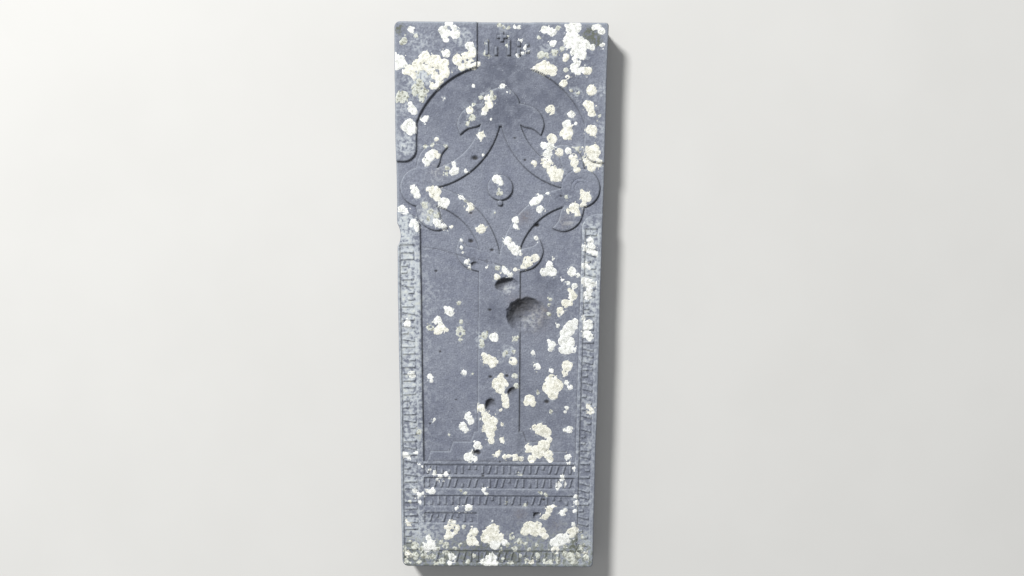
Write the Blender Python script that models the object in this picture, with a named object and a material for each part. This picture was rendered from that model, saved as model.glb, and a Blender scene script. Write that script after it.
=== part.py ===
"""A carved grave slab, lying flat with its carved face up.

One slab of blue-grey limestone, narrower at the foot. The face has an arched, sunken
field with a cross in low relief: four quarter rings make a hollow-sided lozenge about
a round boss, three lobes and eight leaves make the ends, and a shaft runs down to a
stepped foot. Sunken strips along both sides and the foot, and four short rows below
the cross, hold plain raised strokes in place of an inscription.

X runs across the slab, Y along it with the head at +Y, and Z up. The origin is in the
middle of the underside.
"""

import math

import bmesh
import bpy

# The slab
SLAB_LENGTH = 1.980
HEAD_WIDTH = 0.784
FOOT_WIDTH = 0.694
SLAB_THICKNESS = 0.115
CORNER_RADIUS = 0.014
ARRIS = 0.004
EDGE_WANDER = 0.003
WANDER_TURNS = 9

# Levels of the carving, below or above the dressed face
FIELD_DEPTH = 0.009
PANEL_DEPTH = 0.007
STRIP_DEPTH = 0.005
STROKE_HEIGHT = 0.0042
RELIEF_HEIGHT = 0.0068
BOSS_HEIGHT = 0.0062
LOBE_LIFT = 0.0012
LEVEL_STEP = 0.0003
SIDE_SLOPE = 0.0022
ROOT_DEPTH = 0.006

# The arched field, measured from the head or the foot of the slab
ARCH_CROWN_FROM_HEAD = 0.153
SPANDREL_MARGIN = 0.075
ARCH_BULGE = 0.020
SPANDREL_FOOT_FROM_HEAD = 0.510
SPANDREL_CORNER = 0.047
BORDER_TOP_FROM_HEAD = 0.695
BORDER_LEFT = 0.085
BORDER_RIGHT = 0.076
BORDER_END_RISE = 0.051
BORDER_END_SHARE = 0.80
FIELD_END_FROM_FOOT = 0.382

# The cross
CROSS_FROM_HEAD = 0.602
LOBE_MARGIN = 0.018
SHAFT_WIDTH = 0.150
STEPS_TOP_FROM_FOOT = 0.490
STEP_HALF_WIDTHS = (0.258, 0.176, 0.100)
STEP_LEAN = 0.012
WORN_STEPS_HEIGHT = 0.0014
WORN_STEPS_CLEARANCE = 0.002

# The free carving of the cross head, as shares of its reach
RING_CENTRE = (0.818, 0.806)
RING_INNER = 0.641
RING_OUTER = 0.828
LOBE_ALONG = 0.812
LOBE_RADIUS = 0.195
LEAF_OUTER = ((0.850, 0.170), (0.838, 0.250), (0.805, 0.340), (0.735, 0.407), (0.635, 0.438))
LEAF_TIP = (0.530, 0.407)
LEAF_INNER = ((0.592, 0.330), (0.622, 0.222), (0.700, 0.120))
BOSS_RADIUS = 0.127
KNOB_RADIUS = 0.027
KNOB_BELOW = 0.157
SHAFT_TOP = 0.765

# The panel at the head
PANEL_LEFT = 0.088
PANEL_RIGHT = 0.123
PANEL_SOFT_SIDE = 0.022
PANEL_MARK_WIDTH = 0.009
PANEL_MARK_HEIGHT = 0.0052
PANEL_MARKS_FROM_HEAD = 0.122
PANEL_CROSS_REACH = 0.018

# Marks in the panel: across from the middle, up from their common foot, length
PANEL_MARKS = (
    (-0.052, 0.000, 0.056),
    (-0.018, 0.000, 0.031),
    (0.028, 0.000, 0.056),
    (0.064, 0.000, 0.025),
    (0.064, 0.034, 0.022),
    (0.096, 0.010, 0.009),
    (0.096, 0.034, 0.009),
)
PANEL_CROSS = (0.003, 0.068)

# The sunken strips and rows, and the strokes in them
LEFT_STRIP_WIDTH = 0.054
LEFT_STRIP_MARGIN = 0.010
LEFT_STRIP_FROM_HEAD = 0.812
RIGHT_STRIP_WIDTH = 0.045
RIGHT_STRIP_MARGIN = 0.018
RIGHT_STRIP_FROM_HEAD = 0.750
FOOT_STRIP_HEIGHT = 0.044
FOOT_STRIP_MARGIN = 0.014
FOOT_STRIP_GAP = 0.016
ROW_TOPS_FROM_FOOT = (0.370, 0.323, 0.259, 0.195)
ROW_HEIGHTS = (0.037, 0.040, 0.039, 0.037)
SHORT_ROW_LENGTH = 0.190
STROKE_WIDTH = 0.0075
STROKE_CLEARANCE = 0.005
STROKE_PITCH = 0.0245
STROKE_LEAN = 0.008
STROKE_KINDS = 8
STROKE_CYCLE = 5
SHORT_STROKE_SHARE = 0.45

# Hollows that weather and knocks have left: across, along (+Y), half sizes, depth
SHAFT_HOLLOW = (0.029, 0.034, 0.043, 0.028, 0.019)
SHAFT_SPALL = (0.104, -0.075, 0.078, 0.066, 0.023)
LOW_PIT = (-0.028, -0.406, 0.022, 0.028, 0.014)
SMALL_PIT = (0.052, -0.357, 0.020, 0.020, 0.009)
RING_PIT = (-0.090, 0.108, 0.015, 0.010, 0.006)
STEP_PIT = (-0.078, -0.577, 0.016, 0.011, 0.010)
ROW_PIT = (0.143, -0.803, 0.015, 0.013, 0.008)
EDGE_NICK = (-0.378, 0.211, 0.018, 0.030, 0.050)
FOOT_CHIP = (-0.352, -0.988, 0.030, 0.022, 0.045)

HOLLOW_SINK = 0.35

ARC_STEPS = 14
LOBE_STEPS = 30
SMALL_ARC_STEPS = 5
EDGE_STEPS = 9
CUT_CLEARANCE = 0.020
PIT_SEGMENTS = 14
PIT_RINGS = 8

HEAD_Y = SLAB_LENGTH / 2
FOOT_Y = -SLAB_LENGTH / 2
FACE_Z = SLAB_THICKNESS
FIELD_Z = FACE_Z - FIELD_DEPTH
CROSS_Y = HEAD_Y - CROSS_FROM_HEAD


def half_width(y):
    """Half the width of the tapered slab at a place along its length."""
    share = (y - FOOT_Y) / SLAB_LENGTH
    return (FOOT_WIDTH + (HEAD_WIDTH - FOOT_WIDTH) * share) / 2


CROSS_REACH = half_width(CROSS_Y) - LOBE_MARGIN


def arc(centre, radius_x, radius_y, start, end, steps):
    """Points on an elliptical arc, from one angle in degrees to another."""
    angles = [math.radians(start + (end - start) * i / steps) for i in range(steps + 1)]
    return [(centre[0] + radius_x * math.cos(a), centre[1] + radius_y * math.sin(a)) for a in angles]


def smooth_through(points, parts):
    """Points on a smooth curve through the given ones, each span cut into parts."""
    padded = [points[0]] + list(points) + [points[-1]]
    result = []
    for i in range(1, len(padded) - 2):
        before, start, end, after = padded[i - 1 : i + 3]
        for j in range(parts):
            t = j / parts
            weights = (
                (-t + 2 * t**2 - t**3) / 2,
                (2 - 5 * t**2 + 3 * t**3) / 2,
                (t + 4 * t**2 - 3 * t**3) / 2,
                (-(t**2) + t**3) / 2,
            )
            spans = (before, start, end, after)
            result.append(tuple(sum(w * p[k] for w, p in zip(weights, spans)) for k in (0, 1)))
    return result + [points[-1]]


def add_tapered_solid(bm, outline, wide_z, narrow_z, slope):
    """One closed form on the outline, whose sides lean in by slope from wide_z to narrow_z."""
    rim = [bm.verts.new((x, y, narrow_z)) for x, y in outline]
    face = bm.faces.new(rim)
    bmesh.ops.inset_region(
        bm, faces=[face], use_boundary=True, use_even_offset=True, thickness=slope
    )
    for vert in rim:
        vert.co.z = wide_z
    bm.faces.new(rim[::-1])


def object_from(bm, name):
    """An object of the mesh, with its faces pointing out."""
    bmesh.ops.recalc_face_normals(bm, faces=bm.faces)
    mesh = bpy.data.meshes.new(name)
    bm.to_mesh(mesh)
    bm.free()
    obj = bpy.data.objects.new(name, mesh)
    bpy.context.scene.collection.objects.link(obj)
    return obj


def tool_from(bm, name):
    """A hidden shape that only cuts or adds to the slab."""
    tool = object_from(bm, name)
    tool.hide_render = True
    tool.display_type = "WIRE"
    return tool


def combine(slab, tool, operation):
    """Cut the tool out of the slab, or join it on."""
    modifier = slab.modifiers.new(tool.name, "BOOLEAN")
    modifier.operation = operation
    modifier.solver = "EXACT"
    modifier.object = tool


def cut(slab, name, outline, floor_z):
    """Sink the outline into the face, with sides that open upward."""
    bm = bmesh.new()
    add_tapered_solid(bm, outline, FACE_Z + CUT_CLEARANCE, floor_z, SIDE_SLOPE)
    combine(slab, tool_from(bm, name), "DIFFERENCE")


def raise_form(slab, name, outline, top_z):
    """Leave the outline standing from the field up to top_z."""
    bm = bmesh.new()
    add_tapered_solid(bm, outline, FIELD_Z - ROOT_DEPTH, top_z, SIDE_SLOPE)
    combine(slab, tool_from(bm, name), "UNION")


def slab_outline():
    """The tapered slab seen from above, its long sides wandering a little inward."""
    r = CORNER_RADIUS
    corners = (
        ((half_width(HEAD_Y) - r, HEAD_Y - r), 0),
        ((-half_width(HEAD_Y) + r, HEAD_Y - r), 90),
        ((-half_width(FOOT_Y) + r, FOOT_Y + r), 180),
        ((half_width(FOOT_Y) - r, FOOT_Y + r), 270),
    )
    points = []
    for index, (centre, angle) in enumerate(corners):
        points += arc(centre, r, r, angle, angle + 90, SMALL_ARC_STEPS)
        if index % 2:
            side = -1 if index == 1 else 1
            for step in range(1, EDGE_STEPS):
                share = step / EDGE_STEPS
                y = (HEAD_Y - FOOT_Y - 2 * r) * (share - 0.5) * side
                swell = 1 + math.sin(WANDER_TURNS * share + index)
                wander = EDGE_WANDER / 2 * math.sin(math.pi * share) * swell
                points.append((side * (half_width(y) - wander), y))
    return points


def make_slab():
    """The plain slab with worn upper arrises."""
    bm = bmesh.new()
    floor = bm.faces.new([bm.verts.new((x, y, 0)) for x, y in slab_outline()])
    block = bmesh.ops.extrude_face_region(bm, geom=[floor])
    top = [e for e in block["geom"] if isinstance(e, bmesh.types.BMVert)]
    bmesh.ops.translate(bm, verts=top, vec=(0, 0, SLAB_THICKNESS))
    rim = [e for e in bm.edges if all(v.co.z > SLAB_THICKNESS / 2 for v in e.verts)]
    bmesh.ops.bevel(
        bm, geom=rim, offset=ARRIS, segments=1, profile=0.5, material=-1, affect="EDGES"
    )
    return object_from(bm, "grave_slab")


def arch_side():
    """Half the width of the field's upright sides under the arch."""
    return half_width(HEAD_Y - SPANDREL_FOOT_FROM_HEAD) - SPANDREL_MARGIN


def field_outline():
    """The sunken field: arch, spandrel corners, open shoulders and tapered lower part."""
    jamb = arch_side()
    radius = jamb + ARCH_BULGE
    centre_y = HEAD_Y - ARCH_CROWN_FROM_HEAD - radius
    spring = math.degrees(math.acos(jamb / radius))
    shoulder_y = HEAD_Y - SPANDREL_FOOT_FROM_HEAD
    border_y = HEAD_Y - BORDER_TOP_FROM_HEAD
    end_y = FOOT_Y + FIELD_END_FROM_FOOT
    beyond = HEAD_WIDTH / 2 + CUT_CLEARANCE
    turn_y = border_y - BORDER_END_RISE
    halves = []
    for border in (BORDER_RIGHT, BORDER_LEFT):
        inner = half_width(turn_y) - border
        end_radius = border * BORDER_END_SHARE
        half = [(half_width(end_y) - border, end_y)]
        half += arc((inner + end_radius, turn_y), end_radius, BORDER_END_RISE, 180, 90, SMALL_ARC_STEPS)
        half += [(beyond, border_y), (beyond, shoulder_y)]
        corner = (jamb + SPANDREL_CORNER, shoulder_y + SPANDREL_CORNER)
        half += arc(corner, SPANDREL_CORNER, SPANDREL_CORNER, 270, 180, SMALL_ARC_STEPS)
        halves.append(half)
    crown = arc((0, centre_y), radius, radius, spring, 180 - spring, 2 * ARC_STEPS)
    return halves[0] + crown + [(-x, y) for x, y in reversed(halves[1])]


def cut_panel(slab):
    """The sunken panel at the head, square on its left and soft on its right."""
    floor_z = FACE_Z - PANEL_DEPTH
    top_z = FACE_Z + CUT_CLEARANCE
    start_y = HEAD_Y - ARCH_CROWN_FROM_HEAD - CUT_CLEARANCE
    soft = PANEL_SOFT_SIDE * (PANEL_DEPTH + CUT_CLEARANCE) / PANEL_DEPTH
    profile = (
        (-PANEL_LEFT, floor_z),
        (PANEL_RIGHT - PANEL_SOFT_SIDE, floor_z),
        (PANEL_RIGHT - PANEL_SOFT_SIDE + soft, top_z),
        (-PANEL_LEFT - SIDE_SLOPE, top_z),
    )
    bm = bmesh.new()
    face = bm.faces.new([bm.verts.new((x, start_y, z)) for x, z in profile])
    block = bmesh.ops.extrude_face_region(bm, geom=[face])
    far = [e for e in block["geom"] if isinstance(e, bmesh.types.BMVert)]
    bmesh.ops.translate(bm, verts=far, vec=(0, HEAD_Y + CUT_CLEARANCE - start_y, 0))
    combine(slab, tool_from(bm, "panel_cut"), "DIFFERENCE")


def turned(points, quarter):
    """Cross-head points given as shares, turned by quarters and placed on the slab."""
    placed = []
    for along, across in points:
        for _ in range(quarter):
            along, across = -across, along
        placed.append((across * CROSS_REACH, CROSS_Y + along * CROSS_REACH))
    return placed


def leaf(side):
    """One side leaf of a cross end, as shares along and across the arm."""
    outer = smooth_through(LEAF_OUTER + (LEAF_TIP,), 3)
    inner = smooth_through((LEAF_TIP,) + LEAF_INNER, 2)
    return [(along, across * side) for along, across in outer + inner[1:]]


def raise_cross_head(slab):
    """Quarter rings, lobes, leaves and boss. Each kind stands at its own level."""
    top_z = FIELD_Z + RELIEF_HEIGHT
    for quarter in range(4):
        sign_x = 1 if quarter in (0, 3) else -1
        sign_y = 1 if quarter in (0, 1) else -1
        centre = (sign_x * RING_CENTRE[0] * CROSS_REACH, CROSS_Y + sign_y * RING_CENTRE[1] * CROSS_REACH)
        start = 180 + 90 * quarter
        outer = arc(centre, *[RING_OUTER * CROSS_REACH] * 2, start, start + 90, ARC_STEPS)
        inner = arc(centre, *[RING_INNER * CROSS_REACH] * 2, start + 90, start, ARC_STEPS)
        raise_form(slab, f"ring_{quarter}", outer + inner, top_z - LEVEL_STEP * quarter)
    for quarter in range(4):
        for number, side in enumerate((-1, 1)):
            name = f"leaf_{quarter}_{number}"
            raise_form(slab, name, turned(leaf(side), quarter), top_z - LEVEL_STEP * (number + 0.5))
    for quarter in (0, 1, 3):
        lobe = arc((LOBE_ALONG, 0), LOBE_RADIUS, LOBE_RADIUS, 0, 360, LOBE_STEPS)[:-1]
        raise_form(slab, f"lobe_{quarter}", turned(lobe, quarter), top_z + LOBE_LIFT)
    boss = arc((0, 0), BOSS_RADIUS, BOSS_RADIUS, 0, 360, LOBE_STEPS)[:-1]
    raise_form(slab, "boss", turned(boss, 0), FIELD_Z + BOSS_HEIGHT)
    knob = arc((-KNOB_BELOW, 0), KNOB_RADIUS, KNOB_RADIUS, 0, 360, 2 * SMALL_ARC_STEPS)[:-1]
    raise_form(slab, "boss_knob", turned(knob, 0), FIELD_Z + BOSS_HEIGHT - LOBE_LIFT)


def raise_shaft_and_steps(slab):
    """The shaft from under the lozenge, and its three steps, worn nearly away on the right."""
    steps_top = FOOT_Y + STEPS_TOP_FROM_FOOT
    end_y = FOOT_Y + FIELD_END_FROM_FOOT
    rise = (steps_top - end_y) / len(STEP_HALF_WIDTHS)
    shaft_top = CROSS_Y - SHAFT_TOP * CROSS_REACH
    half = SHAFT_WIDTH / 2
    shaft = [(-half, steps_top - rise), (half, steps_top - rise), (half, shaft_top), (-half, shaft_top)]
    raise_form(slab, "shaft", shaft, FIELD_Z + RELIEF_HEIGHT + LEVEL_STEP)
    side = []
    for number, width in enumerate(STEP_HALF_WIDTHS):
        low = end_y + number * rise
        side += [(width, low - ROOT_DEPTH * (number == 0)), (width - STEP_LEAN, low + rise)]
    left = [(-x, y) for x, y in reversed(side)]
    worn_x = half + WORN_STEPS_CLEARANCE
    standing = [(worn_x, end_y - ROOT_DEPTH), (worn_x, steps_top)]
    raise_form(slab, "worn_steps", side + left, FIELD_Z + WORN_STEPS_HEIGHT)
    raise_form(slab, "steps", standing + left, FIELD_Z + RELIEF_HEIGHT + 2 * LEVEL_STEP)


def strip_corners(start, direction, length, width):
    """The corners of a straight strip, counter-clockwise."""
    (x, y), (dx, dy) = start, direction
    across = (-dy, dx)
    return [
        (x, y),
        (x + dx * length, y + dy * length),
        (x + dx * length + across[0] * width, y + dy * length + across[1] * width),
        (x + across[0] * width, y + across[1] * width),
    ]


def add_strokes(bm, run, turn, floor_z):
    """A row of unconnected strokes: tall, short low and short high ones, some leaning one way."""
    start, direction, length, width = run
    (x, y), (dx, dy) = start, direction
    ax, ay = -dy, dx
    count = int((length - STROKE_CLEARANCE) / STROKE_PITCH)
    margin = (length - count * STROKE_PITCH) / 2
    tall = width - 2 * STROKE_CLEARANCE
    for number in range(count):
        kind = (number * number + 3 * number + turn + number // STROKE_CYCLE) % STROKE_KINDS
        low = STROKE_CLEARANCE + (tall * (1 - SHORT_STROKE_SHARE) if kind == 2 else 0)
        high = STROKE_CLEARANCE + (tall * SHORT_STROKE_SHARE if kind == 5 else tall)
        lean = STROKE_LEAN * (kind % 3 == 0)
        along = margin + (number + 0.5) * STROKE_PITCH - STROKE_WIDTH / 2 - lean / 2
        corners = (
            (along, low),
            (along + STROKE_WIDTH, low),
            (along + STROKE_WIDTH + lean, high),
            (along + lean, high),
        )
        outline = [(x + dx * a + ax * b, y + dy * a + ay * b) for a, b in corners]
        add_tapered_solid(bm, outline, floor_z - ROOT_DEPTH, floor_z + STROKE_HEIGHT, STROKE_WIDTH / 5)


def inscription_runs():
    """Start, direction, length and width of every sunken strip and row."""
    strip_end = FOOT_Y + FOOT_STRIP_MARGIN
    taper = (HEAD_WIDTH - FOOT_WIDTH) / 2 / SLAB_LENGTH
    scale = math.hypot(1, taper)
    left_top = HEAD_Y - LEFT_STRIP_FROM_HEAD
    right_top = HEAD_Y - RIGHT_STRIP_FROM_HEAD
    left_in = LEFT_STRIP_MARGIN + LEFT_STRIP_WIDTH
    right_in = RIGHT_STRIP_MARGIN + RIGHT_STRIP_WIDTH
    runs = [
        (
            (-half_width(strip_end) + left_in, strip_end),
            (-taper / scale, 1 / scale),
            (left_top - strip_end) * scale,
            LEFT_STRIP_WIDTH,
        ),
        (
            (half_width(right_top) - right_in, right_top),
            (-taper / scale, -1 / scale),
            (right_top - strip_end) * scale,
            RIGHT_STRIP_WIDTH,
        ),
        (
            (-half_width(FOOT_Y) + left_in + FOOT_STRIP_GAP, strip_end),
            (1, 0),
            FOOT_WIDTH - left_in - right_in - 2 * FOOT_STRIP_GAP,
            FOOT_STRIP_HEIGHT,
        ),
    ]
    for top, height in zip(ROW_TOPS_FROM_FOOT, ROW_HEIGHTS):
        low = FOOT_Y + top - height
        left = -half_width(low) + BORDER_LEFT
        right = half_width(low) - BORDER_RIGHT
        length = SHORT_ROW_LENGTH if top == min(ROW_TOPS_FROM_FOOT) else right - left
        runs.append(((left, low), (1, 0), length, height))
    return runs


def carve_inscription(slab):
    """Sink every strip and row, then leave its strokes standing."""
    cuts = bmesh.new()
    strokes = bmesh.new()
    floor_z = FACE_Z - STRIP_DEPTH
    for turn, run in enumerate(inscription_runs()):
        add_tapered_solid(cuts, strip_corners(*run), FACE_Z + CUT_CLEARANCE, floor_z, SIDE_SLOPE)
        add_strokes(strokes, run, turn, floor_z)
    combine(slab, tool_from(cuts, "inscription_cuts"), "DIFFERENCE")
    add_panel_marks(strokes)
    combine(slab, tool_from(strokes, "strokes"), "UNION")


def add_panel_marks(bm):
    """Plain strokes, a small upright cross and two dots, raised in the head panel."""
    foot_y = HEAD_Y - PANEL_MARKS_FROM_HEAD
    low_z = FACE_Z - PANEL_DEPTH - ROOT_DEPTH
    top_z = FACE_Z - PANEL_DEPTH + PANEL_MARK_HEIGHT
    slope = PANEL_MARK_WIDTH / 5
    for x, up, length in PANEL_MARKS:
        start = (x - PANEL_MARK_WIDTH / 2, foot_y + up)
        outline = strip_corners(start, (1, 0), PANEL_MARK_WIDTH, length)
        add_tapered_solid(bm, outline, low_z, top_z, slope)
    arm = PANEL_MARK_WIDTH / 2
    x, y = PANEL_CROSS[0], foot_y + PANEL_CROSS[1]
    end = [(PANEL_CROSS_REACH, -arm), (PANEL_CROSS_REACH, arm), (arm, arm)]
    outline = []
    for _ in range(4):
        outline += [(x + a, y + b) for a, b in end]
        end = [(-b, a) for a, b in end]
    add_tapered_solid(bm, outline, low_z, top_z, slope)


def surface_z(name):
    """The height of the stone that a hollow is cut into."""
    on_field = ("shaft", "ring", "step")
    return FIELD_Z + RELIEF_HEIGHT if name.startswith(on_field) else FACE_Z


def cut_hollow(slab, name, place):
    """A shallow round-bottomed hollow. Its place along the slab is from the middle."""
    x, y, half_x, half_y, depth = place
    sink = depth * HOLLOW_SINK
    bm = bmesh.new()
    bmesh.ops.create_uvsphere(bm, u_segments=PIT_SEGMENTS, v_segments=PIT_RINGS, radius=1)
    bmesh.ops.scale(bm, vec=(half_x, half_y, depth + sink), verts=bm.verts)
    bmesh.ops.translate(bm, vec=(x, y, surface_z(name) + sink), verts=bm.verts)
    combine(slab, tool_from(bm, name), "DIFFERENCE")


def stone():
    """Weathered blue-grey limestone."""
    material = bpy.data.materials.new("blue_grey_limestone")
    material.use_nodes = True
    shader = material.node_tree.nodes["Principled BSDF"]
    shader.inputs["Base Color"].default_value = (0.270, 0.290, 0.345, 1)
    shader.inputs["Roughness"].default_value = 0.85
    shader.inputs["Metallic"].default_value = 0.0
    return material


def main():
    for obj in list(bpy.data.objects):
        bpy.data.objects.remove(obj)
    slab = make_slab()
    cut(slab, "field_cut", field_outline(), FIELD_Z)
    cut_panel(slab)
    raise_shaft_and_steps(slab)
    raise_cross_head(slab)
    carve_inscription(slab)
    hollows = {
        "shaft_hollow": SHAFT_HOLLOW,
        "shaft_spall": SHAFT_SPALL,
        "shaft_low_pit": LOW_PIT,
        "shaft_small_pit": SMALL_PIT,
        "ring_pit": RING_PIT,
        "step_pit": STEP_PIT,
        "row_pit": ROW_PIT,
        "edge_nick": EDGE_NICK,
        "foot_chip": FOOT_CHIP,
    }
    for name, place in hollows.items():
        cut_hollow(slab, name, place)
    slab.data.materials.append(stone())


main()
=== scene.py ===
"""The weathered looks of a carved grave slab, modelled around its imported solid.

The stone is one fine mesh whose heights come from the same carving as the solid: an
arched field, a cross with leafy ends on a stepped foot, sunken strips of plain strokes,
hollows and worn arrises. Crusts of white, cream and grey lichen grow on it.
"""

import math

import bmesh
import bpy
import numpy as np
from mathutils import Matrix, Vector, noise


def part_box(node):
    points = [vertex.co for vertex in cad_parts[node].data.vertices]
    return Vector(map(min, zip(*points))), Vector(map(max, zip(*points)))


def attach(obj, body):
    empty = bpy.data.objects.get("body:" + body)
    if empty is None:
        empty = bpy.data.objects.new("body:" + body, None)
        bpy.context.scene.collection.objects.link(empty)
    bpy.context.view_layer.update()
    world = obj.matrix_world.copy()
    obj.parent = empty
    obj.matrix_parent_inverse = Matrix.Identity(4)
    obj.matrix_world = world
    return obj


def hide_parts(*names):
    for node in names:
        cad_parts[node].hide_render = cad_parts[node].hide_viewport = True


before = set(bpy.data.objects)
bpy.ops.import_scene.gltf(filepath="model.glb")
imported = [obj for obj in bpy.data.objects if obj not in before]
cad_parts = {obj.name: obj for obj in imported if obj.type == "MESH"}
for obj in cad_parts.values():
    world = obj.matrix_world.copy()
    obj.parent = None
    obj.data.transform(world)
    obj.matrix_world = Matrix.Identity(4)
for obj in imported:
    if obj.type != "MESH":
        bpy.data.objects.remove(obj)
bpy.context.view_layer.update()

bl_info = {
    "name": "Weathered Grave Slab",
    "version": (1, 0, 0),
    "blender": (4, 5, 0),
    "location": "3D View > Sidebar > Grave Slab",
    "description": "Builds the stone, the lichen and the stage of a carved grave slab",
    "category": "Add Mesh",
}

NODE = "grave_slab"
LOW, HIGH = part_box(NODE)

# The slab, from the frame. The foot's width is the solid's own.
SLAB_LENGTH = HIGH.y - LOW.y
HEAD_WIDTH = HIGH.x - LOW.x
FOOT_WIDTH = 0.694
THICKNESS = HIGH.z - LOW.z
HEAD_Y = HIGH.y
FOOT_Y = LOW.y

# Weathering has taken this much off the face, which leaves the crusts inside the solid's box
FACE_LOSS = 0.0016
FACE_Z = THICKNESS - FACE_LOSS
# What its swells are let down by, for the same reason
SWELL_ROOM = 0.0003

# Depths and heights of the carving
FIELD_DEPTH = 0.009
PANEL_DEPTH = 0.0070
STRIP_DEPTH = 0.0044
STROKE_HEIGHT = 0.0040
RELIEF_HEIGHT = 0.0068
LOBE_LIFT = 0.0012
BOSS_HEIGHT = 0.0080
GROOVE_DEPTH = 0.0016
GROOVE_WIDTH = 0.0017
# How much lower a form is at its worn edge, and how far in that reaches
SHOULDER_FALL = 0.10
SHOULDER_FALL_WIDTH = 0.0028

# The arched field
ARCH_CROWN_FROM_HEAD = 0.153
SPANDREL_MARGIN = 0.075
ARCH_BULGE = 0.020
SPANDREL_FOOT_FROM_HEAD = 0.510
SPANDREL_CORNER = 0.047
BORDER_TOP_FROM_HEAD = 0.695
BORDER_LEFT = 0.085
BORDER_RIGHT = 0.076
BORDER_END_RISE = 0.051
BORDER_END_SHARE = 0.80
FIELD_END_FROM_FOOT = 0.382

# The cross, its shaft and its steps
CROSS_FROM_HEAD = 0.602
LOBE_MARGIN = 0.018
SHAFT_WIDTH = 0.150
STEPS_TOP_FROM_FOOT = 0.490
STEP_HALF_WIDTHS = (0.258, 0.176, 0.100)
STEP_LEAN = 0.012
# How far the lowest step runs on under the edge of the field
STEPS_OVERRUN = 0.005
# The right part of the steps is worn down by this share, from one place to the other
STEPS_WORN_SHARE = 0.8
STEPS_WORN_ACROSS = (0.070, 0.084)
STEPS_WORN_ALONG = (-0.490, -0.500)
# The free carving of its head, as shares of its reach. Ring lines are shares of a lobe's radius.
RING_CENTRE = (0.818, 0.806)
RING_INNER = 0.641
RING_OUTER = 0.828
LOBE_ALONG = 0.812
LOBE_RADIUS = 0.195
LEAF_OUTER = ((0.850, 0.170), (0.838, 0.250), (0.805, 0.340), (0.735, 0.407), (0.635, 0.438))
LEAF_TIP = (0.530, 0.407)
LEAF_INNER = ((0.592, 0.330), (0.622, 0.222), (0.700, 0.120))
RING_LINES = (0.985, 0.48, 0.30)
BOSS_RADIUS = 0.127
KNOB_RADIUS = 0.027
KNOB_BELOW = 0.157
SHAFT_TOP = 0.765
# Into how many parts the round lines are cut
BEND_PARTS = 10
CROWN_PARTS = 60
BAND_PARTS = 36
LEAF_OUTER_PARTS = 5
LEAF_INNER_PARTS = 4
LOBE_PARTS = 60
BOSS_PARTS = 48
KNOB_PARTS = 16

# The head panel
PANEL_LEFT = 0.088
PANEL_RIGHT = 0.123
PANEL_SOFT_SIDE = 0.022
# A slope that soft needs no fine cells, so it counts as this many times farther off
SOFT_SIDE_FACTOR = 9
# Above this place the field's own edge doesn't show in the panel, which opens into the field
# there, and deepens to its level about the arch's crown
PANEL_OPENS_Y = 0.80
PANEL_DEEPENS_ABOVE = 0.035
PANEL_DEEPENS_BELOW = 0.012
PANEL_MARK_WIDTH = 0.0115
PANEL_MARK_HEIGHT = 0.0066
PANEL_MARKS_FROM_HEAD = 0.122
# Across, up from the marks' foot, height
PANEL_MARKS = (
    (-0.052, 0.000, 0.056),
    (-0.018, 0.000, 0.031),
    (0.028, 0.000, 0.056),
    (0.064, 0.000, 0.025),
    (0.064, 0.034, 0.022),
    (0.096, 0.010, 0.009),
    (0.096, 0.034, 0.009),
)
# The small plain cross: across, and up from the marks' foot
PANEL_CROSS = (0.003, 0.068)
PANEL_CROSS_REACH = 0.018

# Strips and rows of strokes
LEFT_STRIP_WIDTH = 0.054
LEFT_STRIP_MARGIN = 0.010
LEFT_STRIP_FROM_HEAD = 0.812
RIGHT_STRIP_WIDTH = 0.045
RIGHT_STRIP_MARGIN = 0.018
RIGHT_STRIP_FROM_HEAD = 0.750
FOOT_STRIP_HEIGHT = 0.044
FOOT_STRIP_MARGIN = 0.014
FOOT_STRIP_GAP = 0.016
ROW_TOPS_FROM_FOOT = (0.370, 0.323, 0.259, 0.195)
ROW_HEIGHTS = (0.037, 0.040, 0.039, 0.037)
SHORT_ROW_LENGTH = 0.190
STROKE_WIDTH = 0.0075
STROKE_CLEARANCE = 0.005
STROKE_PITCH = 0.0245
STROKE_LEAN = 0.008
STROKE_KINDS = 8
STROKE_CYCLE = 5
STROKE_MIX = 3
# Short strokes stand in the upper or the lower part of their strip. Every third kind leans.
SHORT_STROKE_SHARE = 0.45
UPPER_KIND = 2
LOWER_KIND = 5
LEANING_KINDS = 3

# Hollows in the face: across, along from the middle, half sizes, depth, and how the floor rises
# across and along
HOLLOWS = (
    (0.028, 0.033, 0.043, 0.029, 0.015, 0.15, -0.95),
    (0.106, -0.077, 0.080, 0.068, 0.019, 0.85, -0.50),
    (-0.028, -0.406, 0.022, 0.028, 0.010, 0.85, -0.50),
    (0.052, -0.357, 0.020, 0.020, 0.007, 0.85, -0.50),
    (-0.090, 0.108, 0.015, 0.010, 0.006, 0.85, -0.50),
    (-0.078, -0.577, 0.016, 0.011, 0.006, 0.85, -0.50),
    (0.143, -0.803, 0.015, 0.013, 0.007, 0.85, -0.50),
)
# The first ones are sunk from the level of the cross, the others from the face round them
HOLLOWS_IN_CROSS = 5
HOLLOW_LEAN = 0.80
HOLLOW_ROUNDING = 0.6
CHIPPED_SHARE = 0.9
# A pock's length and depth, as shares of its width and radius
POCK_LENGTH = 0.7
POCK_DEPTH = 0.35
CRACK_DEPTH = 0.0010
CRACK_WIDTH = 0.0016

# The nick in the left edge: place along, depth, half length, and how far in it bends the plan
EDGE_NICK = (0.213, 0.012, 0.042)
NICK_REACH = 0.090
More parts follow.
